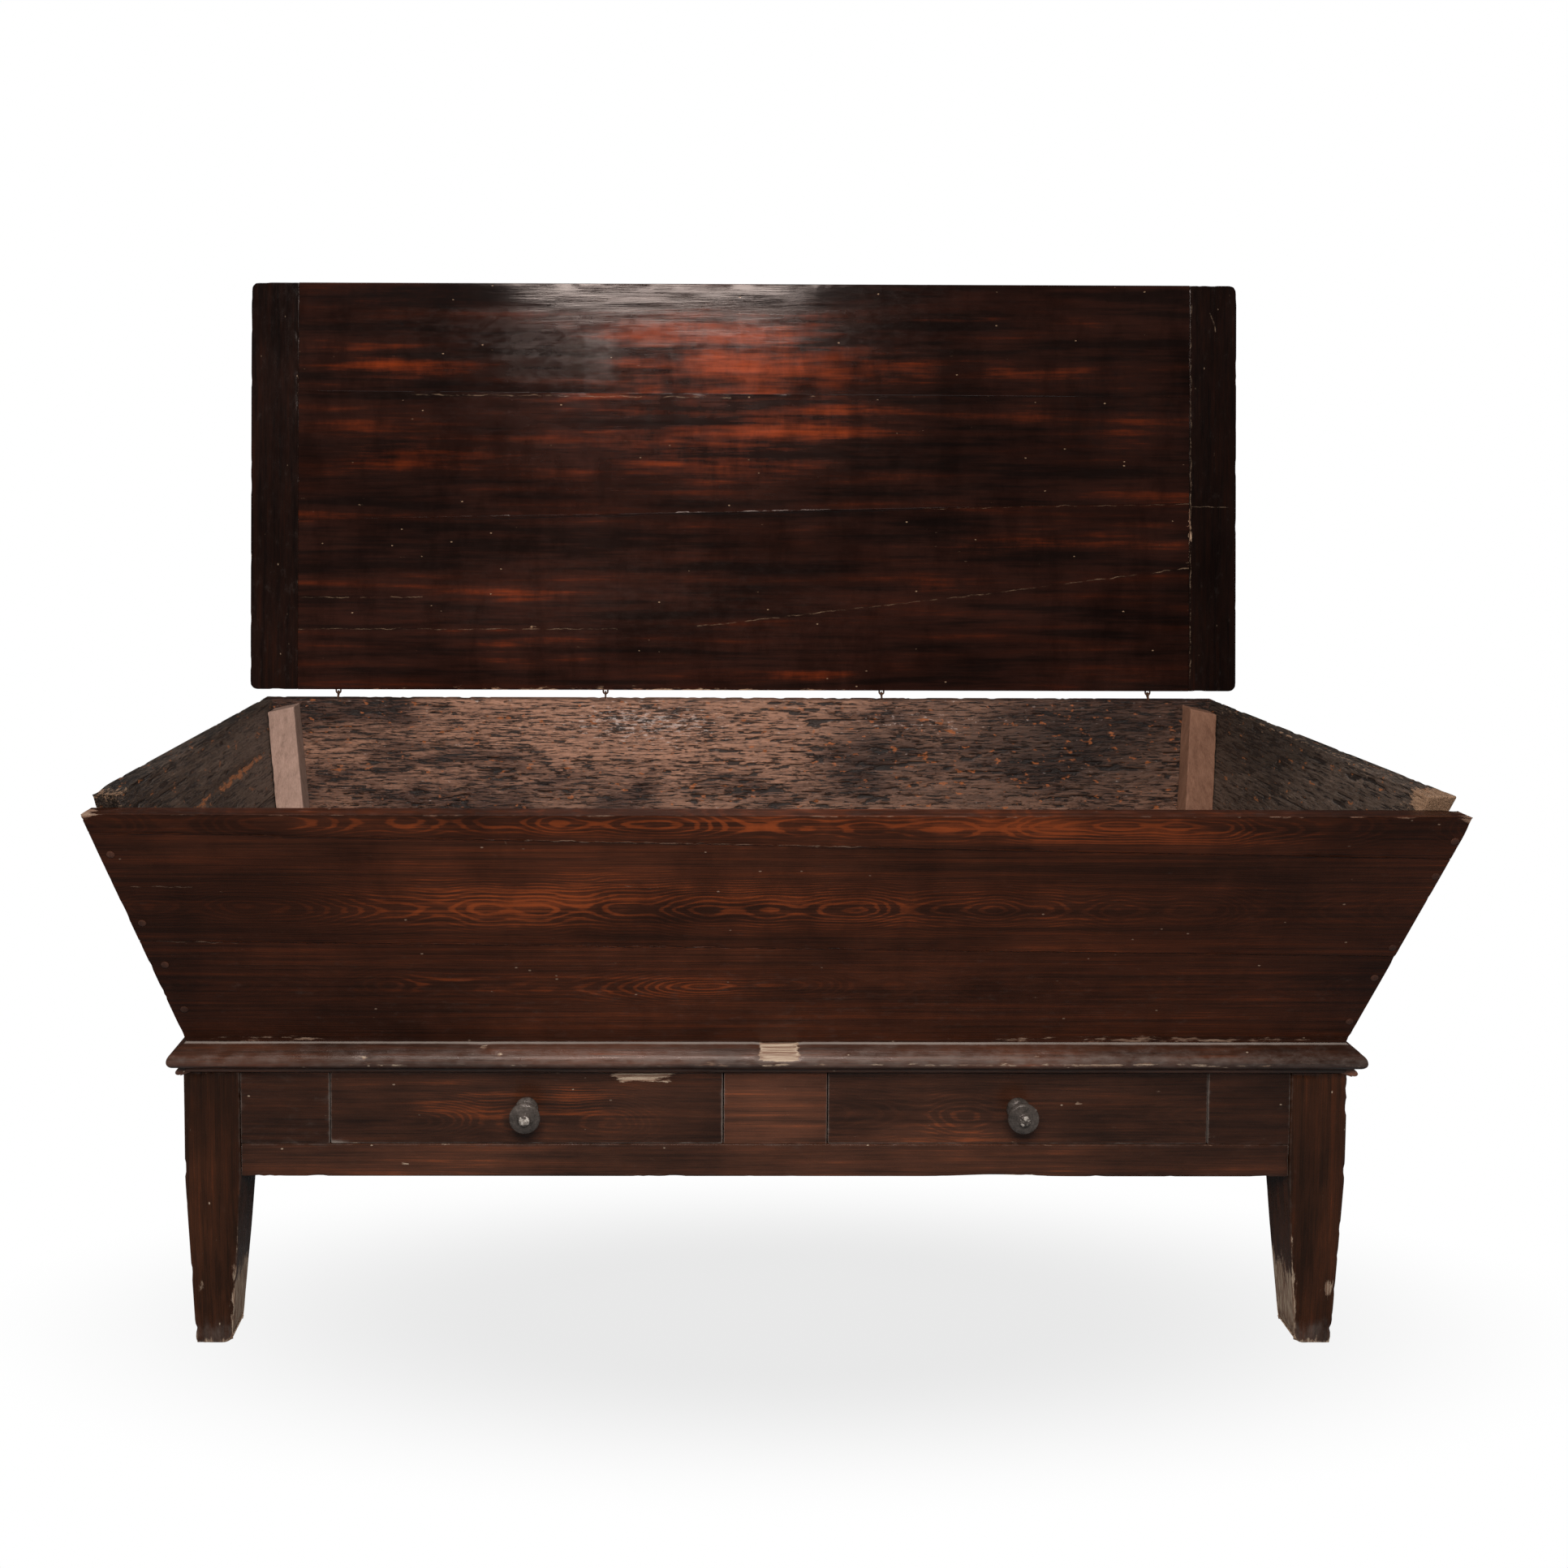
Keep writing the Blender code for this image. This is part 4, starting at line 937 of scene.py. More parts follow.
@dataclass
class Lid:
    """Three boards between two cross cleats, standing open on its hinges."""

    axis: Pair = (0.30417, 0.775)
    lean: float = math.radians(2.5)
    half: float = 0.830844
    shoulder: float = 0.750844
    reach: float = 0.007
    depth: float = 0.6848
    under: float = -0.0067
    thick: float = 0.024
    seam_shares: tuple[float, ...] = (0.0, 0.44, 0.44 + 0.289, 1.0)
    seam_slopes: tuple[float, ...] = (0.0, 0.022, -0.004, 0.0)
    corner: float = 0.012
    board_seed: int = 11
    cleat_seed: int = 15
    marks: tuple[Mark, ...] = (
        # Reds; the one high in the middle also paints the warm sheen that lies there.
        *marks(Layer.RED, (-0.578, 1.325, 0.13, 0.036, 0.75), (-0.577, 1.181, 0.13, 0.032, 0.75),
               (-0.02, 1.36, 0.24, 0.06, 1.0), (0.00, 1.23, 0.26, 0.07, 0.95),
               (0.37, 1.406, 0.15, 0.016, 0.7), (0.43, 1.023, 0.16, 0.022, 0.65),
               (0.32, 0.958, 0.05, 0.013, 0.65), (0.12, 0.811, 0.08, 0.008, 0.9),
               (-0.62, 1.434, 0.10, 0.006, 0.7), (-0.773, 1.443, 0.012, 0.02, 0.9),
               (-0.40, 0.86, 0.30, 0.03, 0.30), (0.30, 1.33, 0.22, 0.05, 0.35),
               (-0.60, 1.10, 0.14, 0.05, 0.35), (-0.05, 1.16, 0.18, 0.03, 0.35)),
        # A dusty smudge, whose grey also paints the sheen that lies over it.
        *marks(Layer.DUST, (-0.308, 1.342, 0.115, 0.052, 0.17), (-0.246, 1.36, 0.025, 0.075, 0.06),
               hard=True),
        *marks(Layer.DUST, (-0.2, 0.93, 0.6, 0.13, 0.12)),
        *marks(Layer.SOOT, (-0.25, 1.445, 0.50, 0.022, 0.5), hard=True),
        *marks(Layer.SOOT, (0.62, 1.25, 0.16, 0.15, 0.35)),
        # Painted light low on the left and high in the middle; painted shade on the right cleat
        # and the right half.
        *marks(Layer.LIGHT, (-0.25, 0.92, 0.5, 0.12, 0.45), (0.80, 1.1, 0.05, 0.6, -0.35),
               (0.52, 1.22, 0.25, 0.22, -0.22), (-0.02, 1.29, 0.30, 0.15, 0.75)),
        *marks(Layer.WORN, (-0.20, 0.783, 0.42, 0.005, 0.42), (-0.355, 0.889, 0.006, 0.004, 0.8),
               (0.753, 1.045, 0.004, 0.06, 0.35)))

    def placed(self, left: float, near: Placing, far: Placing, width: float) -> Placing:
        """Where a board goes on the open lid.

        Args:
            left: The board's left end.
            near: Its edge towards the hinge, for each place along the lid.
            far: Its other edge.
            width: Its width as sawn.

        Returns:
            A placing for the board's sizes along, across and through.
        """
        turn = -(math.pi / 2 + self.lean)
        cos, sin = math.cos(turn), math.sin(turn)

        def place(sizes: np.ndarray) -> np.ndarray:
            """Sizes on the board to places in the room."""
            x = left + sizes[:, 0]
            low, high = near(x), far(x)
            y = -(self.reach + low + (high - low) * sizes[:, 1] / width)
            z = self.under + sizes[:, 2]
            return points(x, self.axis[0] + y * cos - z * sin, self.axis[1] + y * sin + z * cos)
        return place

    def build(self) -> None:
        """Model and dress the lid's boards and cleats."""
        seams = [self.depth * share for share in self.seam_shares]

        def seam(number: int) -> Placing:
            """A joint's distance from the lid's rear edge, for each place along the lid."""
            return lambda x: seams[number] + self.seam_slopes[number] * x

        for number, name in enumerate(("lid_rear_board", "lid_middle_board", "lid_front_board")):
            width = seams[number + 1] - seams[number]
            Timber(name, (2 * self.shoulder, width, self.thick),
                   self.placed(-self.shoulder, seam(number), seam(number + 1), width),
                   self.board_seed + number, cells=(0.007, 0.005, 0.008), arris=0.0005,
                   wear=Wear(wave=0.0008, chip=0.0004), marks=self.marks,
                   tight=ENDS + EDGES).fit(LID, Grain.ALONG_X, "lid_pine", "lid")
        for name, hand in (("lid_left_cleat", -1), ("lid_right_cleat", 1)):
            self.build_cleat(name, hand)

    def build_cleat(self, name: str, hand: int) -> None:
        """One cross cleat with round outer corners.

        Args:
            name: The piece's name.
            hand: -1 for the left one, 1 for the right one.
        """
        width = self.half - self.shoulder
        flat = self.placed(0.0, lambda x: x * 0, lambda x: x * 0 + self.depth, self.depth)

        def place(sizes: np.ndarray) -> np.ndarray:
            """Sizes on the cleat to places in the room, with the outer corners rounded."""
            x, y = sizes[:, 1].copy(), sizes[:, 0].copy()
            from_tip = self.corner - (width - x)
            for near in (True, False):
                from_end = self.corner - (y if near else self.depth - y)
                inside = (from_tip > 0) & (from_end > 0)
                far = np.maximum(np.hypot(from_tip, from_end), 1e-9)
                share = np.where(inside, np.maximum(from_tip, from_end) / far, 1.0)
                x = np.where(inside, width - self.corner + from_tip * share, x)
                moved = self.corner - from_end * share
                y = np.where(inside, moved if near else self.depth - moved, y)
            return flat(points(hand * (self.shoulder + x), y, sizes[:, 2]))

        Timber(name, (self.depth, width, self.thick), place, self.cleat_seed + hand,
               cells=(0.006, 0.005, 0.008), arris=0.002, wear=Wear(wave=0.0008, chip=0.0012),
               marks=self.marks, tight=EDGES[:1]).fit(CLEAT, Grain.ALONG_Z, "lid_pine", "lid")


@dataclass
class Trough:
    """The flared box: front, back, ends, floor, corner battens and pegs."""

    length: float = 1.508
    depth: float = 0.372
    end_flare: float = 0.199
    side_flare: float = 0.424
    front_rim: float = 0.749
    back_rim: float = 0.768
    front_thick: float = 0.031
    back_thick: float = 0.026
    end_thick: float = 0.036
    end_setback: float = 0.017
    floor_thick: float = 0.022
    lower_seam: Pair = (0.570, 0.549)
    strip_seam: Pair = (0.725, 0.691)
    back_seam: float = 0.582
    end_seam: float = 0.631
    batten: Pair = (0.044, 0.036)
    batten_drop: float = 0.006
    # Painted shade on the side of each batten that faces the middle of the trough.
    batten_painted_shade: Pair = (-0.45, -0.1)
    hearts: Triple = (0.500, 0.618, 0.735)
    hollow: tuple[Pair, Pair] = ((0.012, 0.0175), (0.005, 0.0085))
    spread: tuple[Pair, Pair] = ((0.013, 0.0), (0.008, -0.014))
    spread_from: Pair = (0.60, 0.74)
    peg_size: float = 0.0050
    peg_proud: float = 0.0002
    peg_profile: tuple[Pair, ...] = (
        (0.30, 0.0009), (0.75, 0.0008), (0.96, 0.0004), (1.0, -0.0006), (1.0, -0.006))
    pegs: tuple[Pair, ...] = (
        (-0.7958, 0.6941), (-0.7765, 0.5959), (-0.7598, 0.5331), (-0.7475, 0.4634),
        (0.8070, 0.7155), (0.7980, 0.6666), (0.7740, 0.5618), (0.7640, 0.5157), (0.7500, 0.4462))
    front_seed: int = 21
    back_seed: int = 31
    end_board_seed: int = 41
    floor_seed: int = 51
    batten_seed: int = 61
    peg_seed: int = 70
    front_marks: tuple[Mark, ...] = (
        *marks(Layer.RED, (-0.15, 0.735, 0.50, 0.014, 0.75), (-0.10, 0.622, 0.55, 0.040, 0.66),
               (-0.42, 0.507, 0.07, 0.014, 0.60), (-0.12, 0.498, 0.18, 0.022, 0.55),
               (0.50, 0.726, 0.30, 0.016, 0.45)),
        *marks(Layer.WORN, (0.50, 0.417, 0.25, 0.006, 0.50), (-0.64, 0.417, 0.11, 0.006, 0.45),
               (0.818, 0.745, 0.012, 0.012, 0.45, 0.002), (-0.816, 0.748, 0.012, 0.006, 0.6)),
        *marks(Layer.WORN, (0.0, 0.7488, 2.0, 0.0022, 0.30), side=(2, -1)),
        # Painted light over the middle of the front, where the light falls most.
        *marks(Layer.LIGHT, (-0.1, 0.65, 0.5, 0.2, 0.60), (0.0, 0.46, 0.5, 0.10, 0.35)),
        *marks(Layer.DUST, (0.0, 0.47, 0.9, 0.08, 0.075)))
    inside_marks: tuple[Mark, ...] = (
        # Painted light where the back wall's sheen lies, in the middle, and a little on the left.
        *marks(Layer.LIGHT, (-0.15, 0.73, 0.22, 0.05, 0.30), (-0.52, 0.70, 0.17, 0.07, 0.06)),
        # Darker over the right half of the back wall and along a low band.
        *marks(Layer.SOOT, (0.19, 0.68, 0.10, 0.06, 0.40), (0.55, 0.70, 0.32, 0.12, 0.75),
               (-0.2, 0.615, 0.6, 0.03, 0.30)),
        # Pale flakes; the ones in the middle also paint the glints there.
        *marks(Layer.WORN, (-0.16, 0.73, 0.15, 0.035, 0.30), (0.28, 0.735, 0.12, 0.02, 0.18)),
        *marks(Layer.RED, (0.45, 0.70, 0.3, 0.07, 0.25)))
    left_end_marks: tuple[Mark, ...] = (
        *marks(Layer.RED, (0.06, 0.693, 0.15, 0.005, 2.2, 0.002), turn=0.013, side=(2, 1)),
        *marks(Layer.SOOT, (0.06, 0.701, 0.16, 0.004, 0.6, 0.002), turn=0.013, side=(2, 1)),
        *marks(Layer.WORN, (-0.315, 0.765, 0.020, 0.010, 0.40, 0.003)),
        *marks(Layer.SOOT, (0.0, 0.66, 0.2, 0.06, 0.15)))
    right_end_marks: tuple[Mark, ...] = marks(
        Layer.WORN, (-0.318, 0.758, 0.024, 0.020, 1.0), (0.0, 0.768, 0.4, 0.004, 0.2))

    def side_out(self, z: Level) -> Level:
        """Distance of the front or back wall's outer face from the middle."""
        return self.depth / 2 + self.side_flare * (z - TROUGH_BASE)

    def worn_in(self, z: Level, hand: int) -> Level:
        """How far an end's inner face has worn back at a height."""
        low, high = self.hollow[hand > 0]
        return low + (high - low) * (z - TROUGH_BASE) / (self.back_rim - TROUGH_BASE)

    def wall_tip(self, z: Level) -> Level:
        """Half the length of the front wall."""
        return self.length / 2 + self.end_flare * (z - TROUGH_BASE)

    def end_out(self, z: Level) -> Level:
        """Distance of an end's outer face from the middle."""
        return self.wall_tip(z) - self.end_setback

    def build(self) -> None:
        """Model and dress the trough."""
        self.build_front()
        self.build_back()
        self.build_ends()
        self.build_floor()
        self.build_battens()
        self.build_pegs()

    def build_front(self) -> None:
        """Three boards with sloping seams."""
        base, rim = (TROUGH_BASE, TROUGH_BASE), (self.front_rim, self.front_rim)
        levels = (base, self.lower_seam, self.strip_seam, rim)
        names = ("front_lower_board", "front_middle_board", "front_top_strip")
        for number, name in enumerate(names):
            bottom, top = levels[number], levels[number + 1]
            width = max(top[0] - bottom[0], top[1] - bottom[1])
            length = 2 * self.wall_tip(max(top))

            def place(sizes: np.ndarray) -> np.ndarray:
                """Sizes on the board to places in the room."""
                along, up = sizes[:, 0] / length, sizes[:, 1] / width
                low = bottom[0] + (bottom[1] - bottom[0]) * along + GAP / 2
                high = top[0] + (top[1] - top[0]) * along - GAP / 2
                z = low + (high - low) * up
                x = (2 * along - 1) * self.wall_tip(z)
                return points(x, TROUGH_SHIFT - self.side_out(z) + sizes[:, 2], z)

            Timber(name, (length, width, self.front_thick), place, self.front_seed + number,
                   cells=(0.007, 0.005, 0.008), arris=0.0009, wear=Wear(wave=0.0007, chip=0.0012),
                   marks=self.front_marks, tight=EDGES, heart=self.hearts[number],
                   coats=((1, 1, Layer.DUST, 0.06),) if top == rim else (),
                   ).fit(FRONT, Grain.ALONG_X, "stained_pine")

    def build_back(self) -> None:
        """Two pitted boards."""
        levels = (TROUGH_BASE, self.back_seam, self.back_rim)
        wear = Wear(wave=0.001, pit=0.0016, pit_size=(0.036, 0.0050, 0.0050), pit_from=0.45,
                    chip=0.002)
        for number, name in enumerate(("back_lower_board", "back_upper_board")):
            bottom, top = levels[number], levels[number + 1]
            length = 2 * self.end_out(top)

            def place(sizes: np.ndarray) -> np.ndarray:
                """Sizes on the board to places in the room."""
                z = bottom + sizes[:, 1]
                along = sizes[:, 0] / length
                short = self.spread[1][1] * smooth_step(z, *self.spread_from) * along
                y = TROUGH_SHIFT + self.side_out(z) - self.back_thick + sizes[:, 2]
                return points((2 * along - 1) * self.end_out(z) + short, y, z)

            Timber(name, (length, top - bottom - GAP, self.back_thick), place,
                   self.back_seed + number, cells=(0.0042, 0.0024, 0.008), arris=0.002, wear=wear,
                   marks=self.inside_marks, tight=EDGES[:1] if number else EDGES[1:],
                   ).fit(PITTED, Grain.ALONG_X, "pitted_pine")

    def build_ends(self) -> None:
        """Left end of two boards and right end of one."""
        boards = (("left_end_lower_board", -1, TROUGH_BASE, self.end_seam),
                  ("left_end_upper_board", -1, self.end_seam + GAP, self.back_rim),
                  ("right_end_board", 1, TROUGH_BASE, self.back_rim))
        for number, (name, hand, bottom, top) in enumerate(boards):
            span = 2 * self.side_out(top) - self.front_thick - self.back_thick - 2 * GAP

            def place(sizes: np.ndarray) -> np.ndarray:
                """Sizes on the board to places in the room."""
                z = bottom + sizes[:, 1]
                out = self.side_out(z)
                front, back = -(out - self.front_thick - GAP), out - self.back_thick - GAP
                along, through = sizes[:, 0] / span, sizes[:, 2] / self.end_thick
                near, far = self.spread[hand > 0]
                wide = (near + (far - near) * along) * smooth_step(z, *self.spread_from)
                outer = self.end_out(z) + wide
                inner = self.end_out(z) - self.end_thick + self.worn_in(z, hand)
                y = TROUGH_SHIFT + front + (back - front) * along
                return points(hand * (outer + (inner - outer) * through), y, z)

            Timber(name, (span, top - bottom - GAP, self.end_thick), place,
                   self.end_board_seed + number, cells=(0.0050, 0.0035, 0.007), arris=0.003,
                   wear=Wear(wave=0.0012, pit=0.0018, pit_from=0.40, chip=0.002, chip_reach=0.008),
                   marks=self.left_end_marks if hand < 0 else self.right_end_marks,
                   show=Show.END, tight=((2, -1), (1, -1)),
                   ).fit(SCRUBBED, Grain.ALONG_Y, "pitted_pine")

    def build_floor(self) -> None:
        """Two floor boards, joined along the middle."""
        half = self.end_out(TROUGH_BASE) - self.end_thick - GAP
        left, right = (self.worn_in(TROUGH_BASE, hand) for hand in (-1, 1))
        out = self.side_out(TROUGH_BASE)
        limits = (("front_floor_board", -(out - self.front_thick - GAP), -GAP / 2),
                  ("back_floor_board", GAP / 2, out - self.back_thick - GAP))
        for number, (name, front, back) in enumerate(limits):
            def place(sizes: np.ndarray) -> np.ndarray:
                """Sizes on the board to places in the room."""
                return sizes + np.array((-half - left, TROUGH_SHIFT + front, TROUGH_BASE))

            Timber(name, (2 * half + left + right, back - front, self.floor_thick), place,
                   self.floor_seed + number, cells=(0.008, 0.006, 0.008), arris=0.0015,
                   wear=Wear(pit=0.0015), show=Show.TOP,
                   ).fit(PITTED, Grain.ALONG_X, "pitted_pine")

    def build_battens(self) -> None:
        """Newer battens in the back corners."""
        foot = TROUGH_BASE + self.floor_thick + GAP
        tall = self.back_rim - self.batten_drop - foot
        wide, deep = self.batten
        battens = (("left_batten", -1, BATTEN), ("right_batten", 1, OLD_BATTEN))
        for number, (name, hand, finish) in enumerate(battens):
            def place(sizes: np.ndarray) -> np.ndarray:
                """Sizes on the batten to places in the room."""
                slope = self.end_flare * sizes[:, 1] * (sizes[:, 0] / tall)
                z = foot + sizes[:, 0] - slope
                y = TROUGH_SHIFT + self.side_out(z) - self.back_thick - GAP - deep + sizes[:, 2]
                inner = self.end_out(z) - self.end_thick + self.worn_in(z, hand)
                return points(hand * (inner - GAP - wide + sizes[:, 1]), y, z)

            Timber(name, (tall, wide, deep), place, self.batten_seed + number,
                   cells=(0.006, 0.006, 0.006), arris=0.0015, wear=Wear(wave=0.0005, chip=0.001),
                   # Painted shade on the batten's side towards the middle.
                   coats=((1, -1, Layer.LIGHT, self.batten_painted_shade[number]),),
                   ).fit(finish, Grain.ALONG_Z, "newer_batten")

    def build_pegs(self) -> None:
        """Pegs that fasten the front wall to the ends, their heads a little proud."""
        turn = Matrix.Rotation(math.pi / 2 + math.atan(self.side_flare), 4, "X")
        for number, (x, z) in enumerate(self.pegs, 1):
            peg = Turned(f"peg_{number}", self.peg_profile, self.peg_size,
                         self.peg_seed + number, sides=20)
            place = Matrix.Translation((x, TROUGH_SHIFT - self.side_out(z) + self.peg_proud, z))
            dress(peg.build(place @ turn), PEG.material(Grain.ALONG_Y), "stand", "stained_pine")


@dataclass
class MouldedFrame:
    """Four mitred lengths of moulding under the trough."""

    half_x: float = 0.774
    half_y: float = 0.260
    width: float = 0.160
    thick: float = 0.0424
    bead: float = 0.0055
    bead_lift: float = 0.0005
    nose: float = 0.0116
    rise: float = 0.0237
    nose_arc: Pair = (-75, 135)
    throat: Pair = (0.0155, 0.0122)
    slope: tuple[Pair, ...] = (
        (0.0085, 0.0058), (0.0130, 0.0029), (0.0165, 0.0012), (0.0185, 0.0003), (0.0200, 0.0),
        (0.0230, 0.0))
    arc_steps: int = 9
    cell: float = 0.006
    seed: int = 81
    ledge: Pair = (0.0225, 0.0205)
    ledge_top: Pair = (0.0013, 0.0002)
    ledge_dust: Pair = (0.2, 0.6)
    low_part: Pair = (-0.0160, -0.0135)
    # Dust under the nose, also lightening the shade there; painted light under it, and a painted
    # highlight along the nose.
    under_nose_dust_and_light: float = 0.22
    low_light: float = 1.6
    nose_light: Pair = (0.5, 0.006)
    nose_edge: Pair = (0.6, 0.004)
    marked: float = 0.03
    wear: Wear = Wear(wave=0.0008, wave_size=(0.12, 0.05, 0.05), chip=0.0, ripple=0.0005)
    marks: tuple[Mark, ...] = (
        *marks(Layer.WORN, (0.015, 0.4065, 0.026, 0.0105, 1.2, 0.0022), hard=True),
        *marks(Layer.SOOT, (0.013, 0.4195, 0.026, 0.003, 1.0, 0.002), hard=True),
        *marks(Layer.WORN, (-0.52, 0.399, 0.007, 0.005, 0.35, 0.002),
               (-0.37, 0.409, 0.010, 0.003, 0.4, 0.001), (-0.345, 0.403, 0.006, 0.003, 0.4, 0.001),
               (-0.70, 0.406, 0.012, 0.004, 0.3, 0.001), (0.35, 0.402, 0.008, 0.003, 0.4, 0.001),
               (-0.10, 0.3905, 0.6, 0.003, 0.22), (0.45, 0.391, 0.3, 0.003, 0.25)),
        # Dust along the nose, which also stands in for its highlight, then painted light there.
        *marks(Layer.DUST, (0.10, 0.398, 0.85, 0.014, 0.27)),
        *marks(Layer.LIGHT, (-0.05, 0.400, 0.75, 0.025, 0.6)))

    def profile(self, face: float) -> np.ndarray:
        """Outline of the moulding: a bead, the nose over it and the ledge.

        Args:
            face: How far out the legs' faces stand under it.

        Returns:
            Points as (out, up) from the inner lower corner.
        """
        half, radius, tip = self.width * 0.5, self.bead, face + self.bead
        outline = [(0.0, 0.0), (half, 0.0), (tip - radius, 0.0)]
        for step in range(self.arc_steps + 1):
            angle = math.pi * (step / self.arc_steps - 0.5)
            outline.append((tip - radius * (1 - math.cos(angle)),
                            radius * (1 + math.sin(angle)) + self.bead_lift))
        outline.append((self.width - self.throat[0], self.throat[1]))
        first, sweep = self.nose_arc
        for step in range(2 * self.arc_steps + 1):
            angle = math.radians(first + sweep * step / (2 * self.arc_steps))
            outline.append((self.width - self.nose * (1 - math.cos(angle)),
                            self.rise + self.nose * math.sin(angle)))
        outline += [(self.width - inward, self.thick - drop) for inward, drop in self.slope]
        return np.array(outline + [(half, self.thick), (0.0, self.thick)])

    def build(self) -> None:
        """Model and dress the four mouldings."""
        sides = (("front_moulding", 0, -1), ("back_moulding", 0, 1), ("left_moulding", 1, -1),
                 ("right_moulding", 1, 1))
        for number, (name, axis, hand) in enumerate(sides):
            material = MOULDED.material(Grain.ALONG_Y if axis else Grain.ALONG_X)
            piece = self.moulding(name, axis, hand, self.seed + number)
            dress(piece, material, "stand", "stained_pine", name)

    def moulding(self, name: str, axis: int, hand: int, seed: int) -> bpy.types.Object:
        """One length of moulding, extruded from its profile.

        Args:
            name: The piece's name.
            axis: 0 for a length along X, 1 for one along Y.
            hand: Which side of the frame it is on.
            seed: Picks its own wear.

        Returns:
            The moulding.
        """
        half, far, leg = self.half_x, self.half_y, STAND_DEEP
        if axis == 1:
            half, far, leg = self.half_y, self.half_x, STAND_HALF
        profile = self.profile(self.width - (far - leg))
        steps, count = round(2 * half / self.cell), len(profile)
        piece, raw = extruded(f"aged_{name}", steps, bpy.ops.mesh.primitive_circle_add,
                              vertices=count, radius=1.0, fill_type="NGON")
        turn = np.arctan2(raw[:, 0], raw[:, 1]) / (2 * math.pi) * count
        corner = np.rint(turn).astype(int) % count
        along = 2 * np.rint(raw[:, 2]) / steps - 1
        run = np.roll(profile, -1, axis=0) - np.roll(profile, 1, axis=0)
        normal = np.stack((run[:, 1], -run[:, 0]), axis=1)
        normal /= np.linalg.norm(normal, axis=1, keepdims=True)
        out, up = profile[corner].T

        def place(out: np.ndarray, up: np.ndarray) -> np.ndarray:
            """Places on the profile to places in the room."""
            side = hand * (far - self.width + out)
            length = along * (half - self.width + out - GAP)
            x, y = (length, side) if axis == 0 else (side, length)
            return points(x, y + STAND_SHIFT, FRAME_BOTTOM + up)

        room = place(out, up)
        facing = np.tile((0.0, 0.0, 1.0), (len(out), 1))
        depth, _ = self.wear.depth(points(along * half, out, up), facing, np.ones(len(out)), seed)
        shown = up * (self.thick - up) > 1e-7
        depth = np.where(shown & (out > self.width * 0.6), depth, 0.0)
        layers = {layer.value: np.zeros(len(room)) for layer in Layer}
        for mark in self.marks if name == "front_moulding" else ():
            cover = mark.cover(room[:, 0], room[:, 2], facing) * (out > self.width - self.marked)
            layers[mark.layer.value] += mark.amount * cover
            depth = depth + mark.depth * cover
        ledge = smooth_step(out, *(self.width - inward for inward in self.ledge))
        dust = self.ledge_dust[0] + self.ledge_dust[1] * ledge
        top = smooth_step(up, *(self.thick - drop for drop in self.ledge_top))
        low = smooth_step(-up, *self.low_part)
        # Dust on the ledge, and dust under the nose that also lightens the shade there.
        layers[Layer.DUST.value] += dust * top + self.under_nose_dust_and_light * low
        # Painted light under the nose where its shadow falls, and a painted highlight along the
        # nose.
        (lit, tall), (rubbed, deep) = self.nose_light, self.nose_edge
        nose = lit * np.exp(-((up - self.rise) / tall) ** 2)
        layers[Layer.LIGHT.value] += self.low_light * low + nose
        layers["edge"] = rubbed * np.exp(-((out - self.width) / deep) ** 2)
        inward = -normal[corner] * depth[:, None]
        worn = place(out + inward[:, 0], up + inward[:, 1])
        return shape(piece, worn, layers, seed, blunt=40.0)


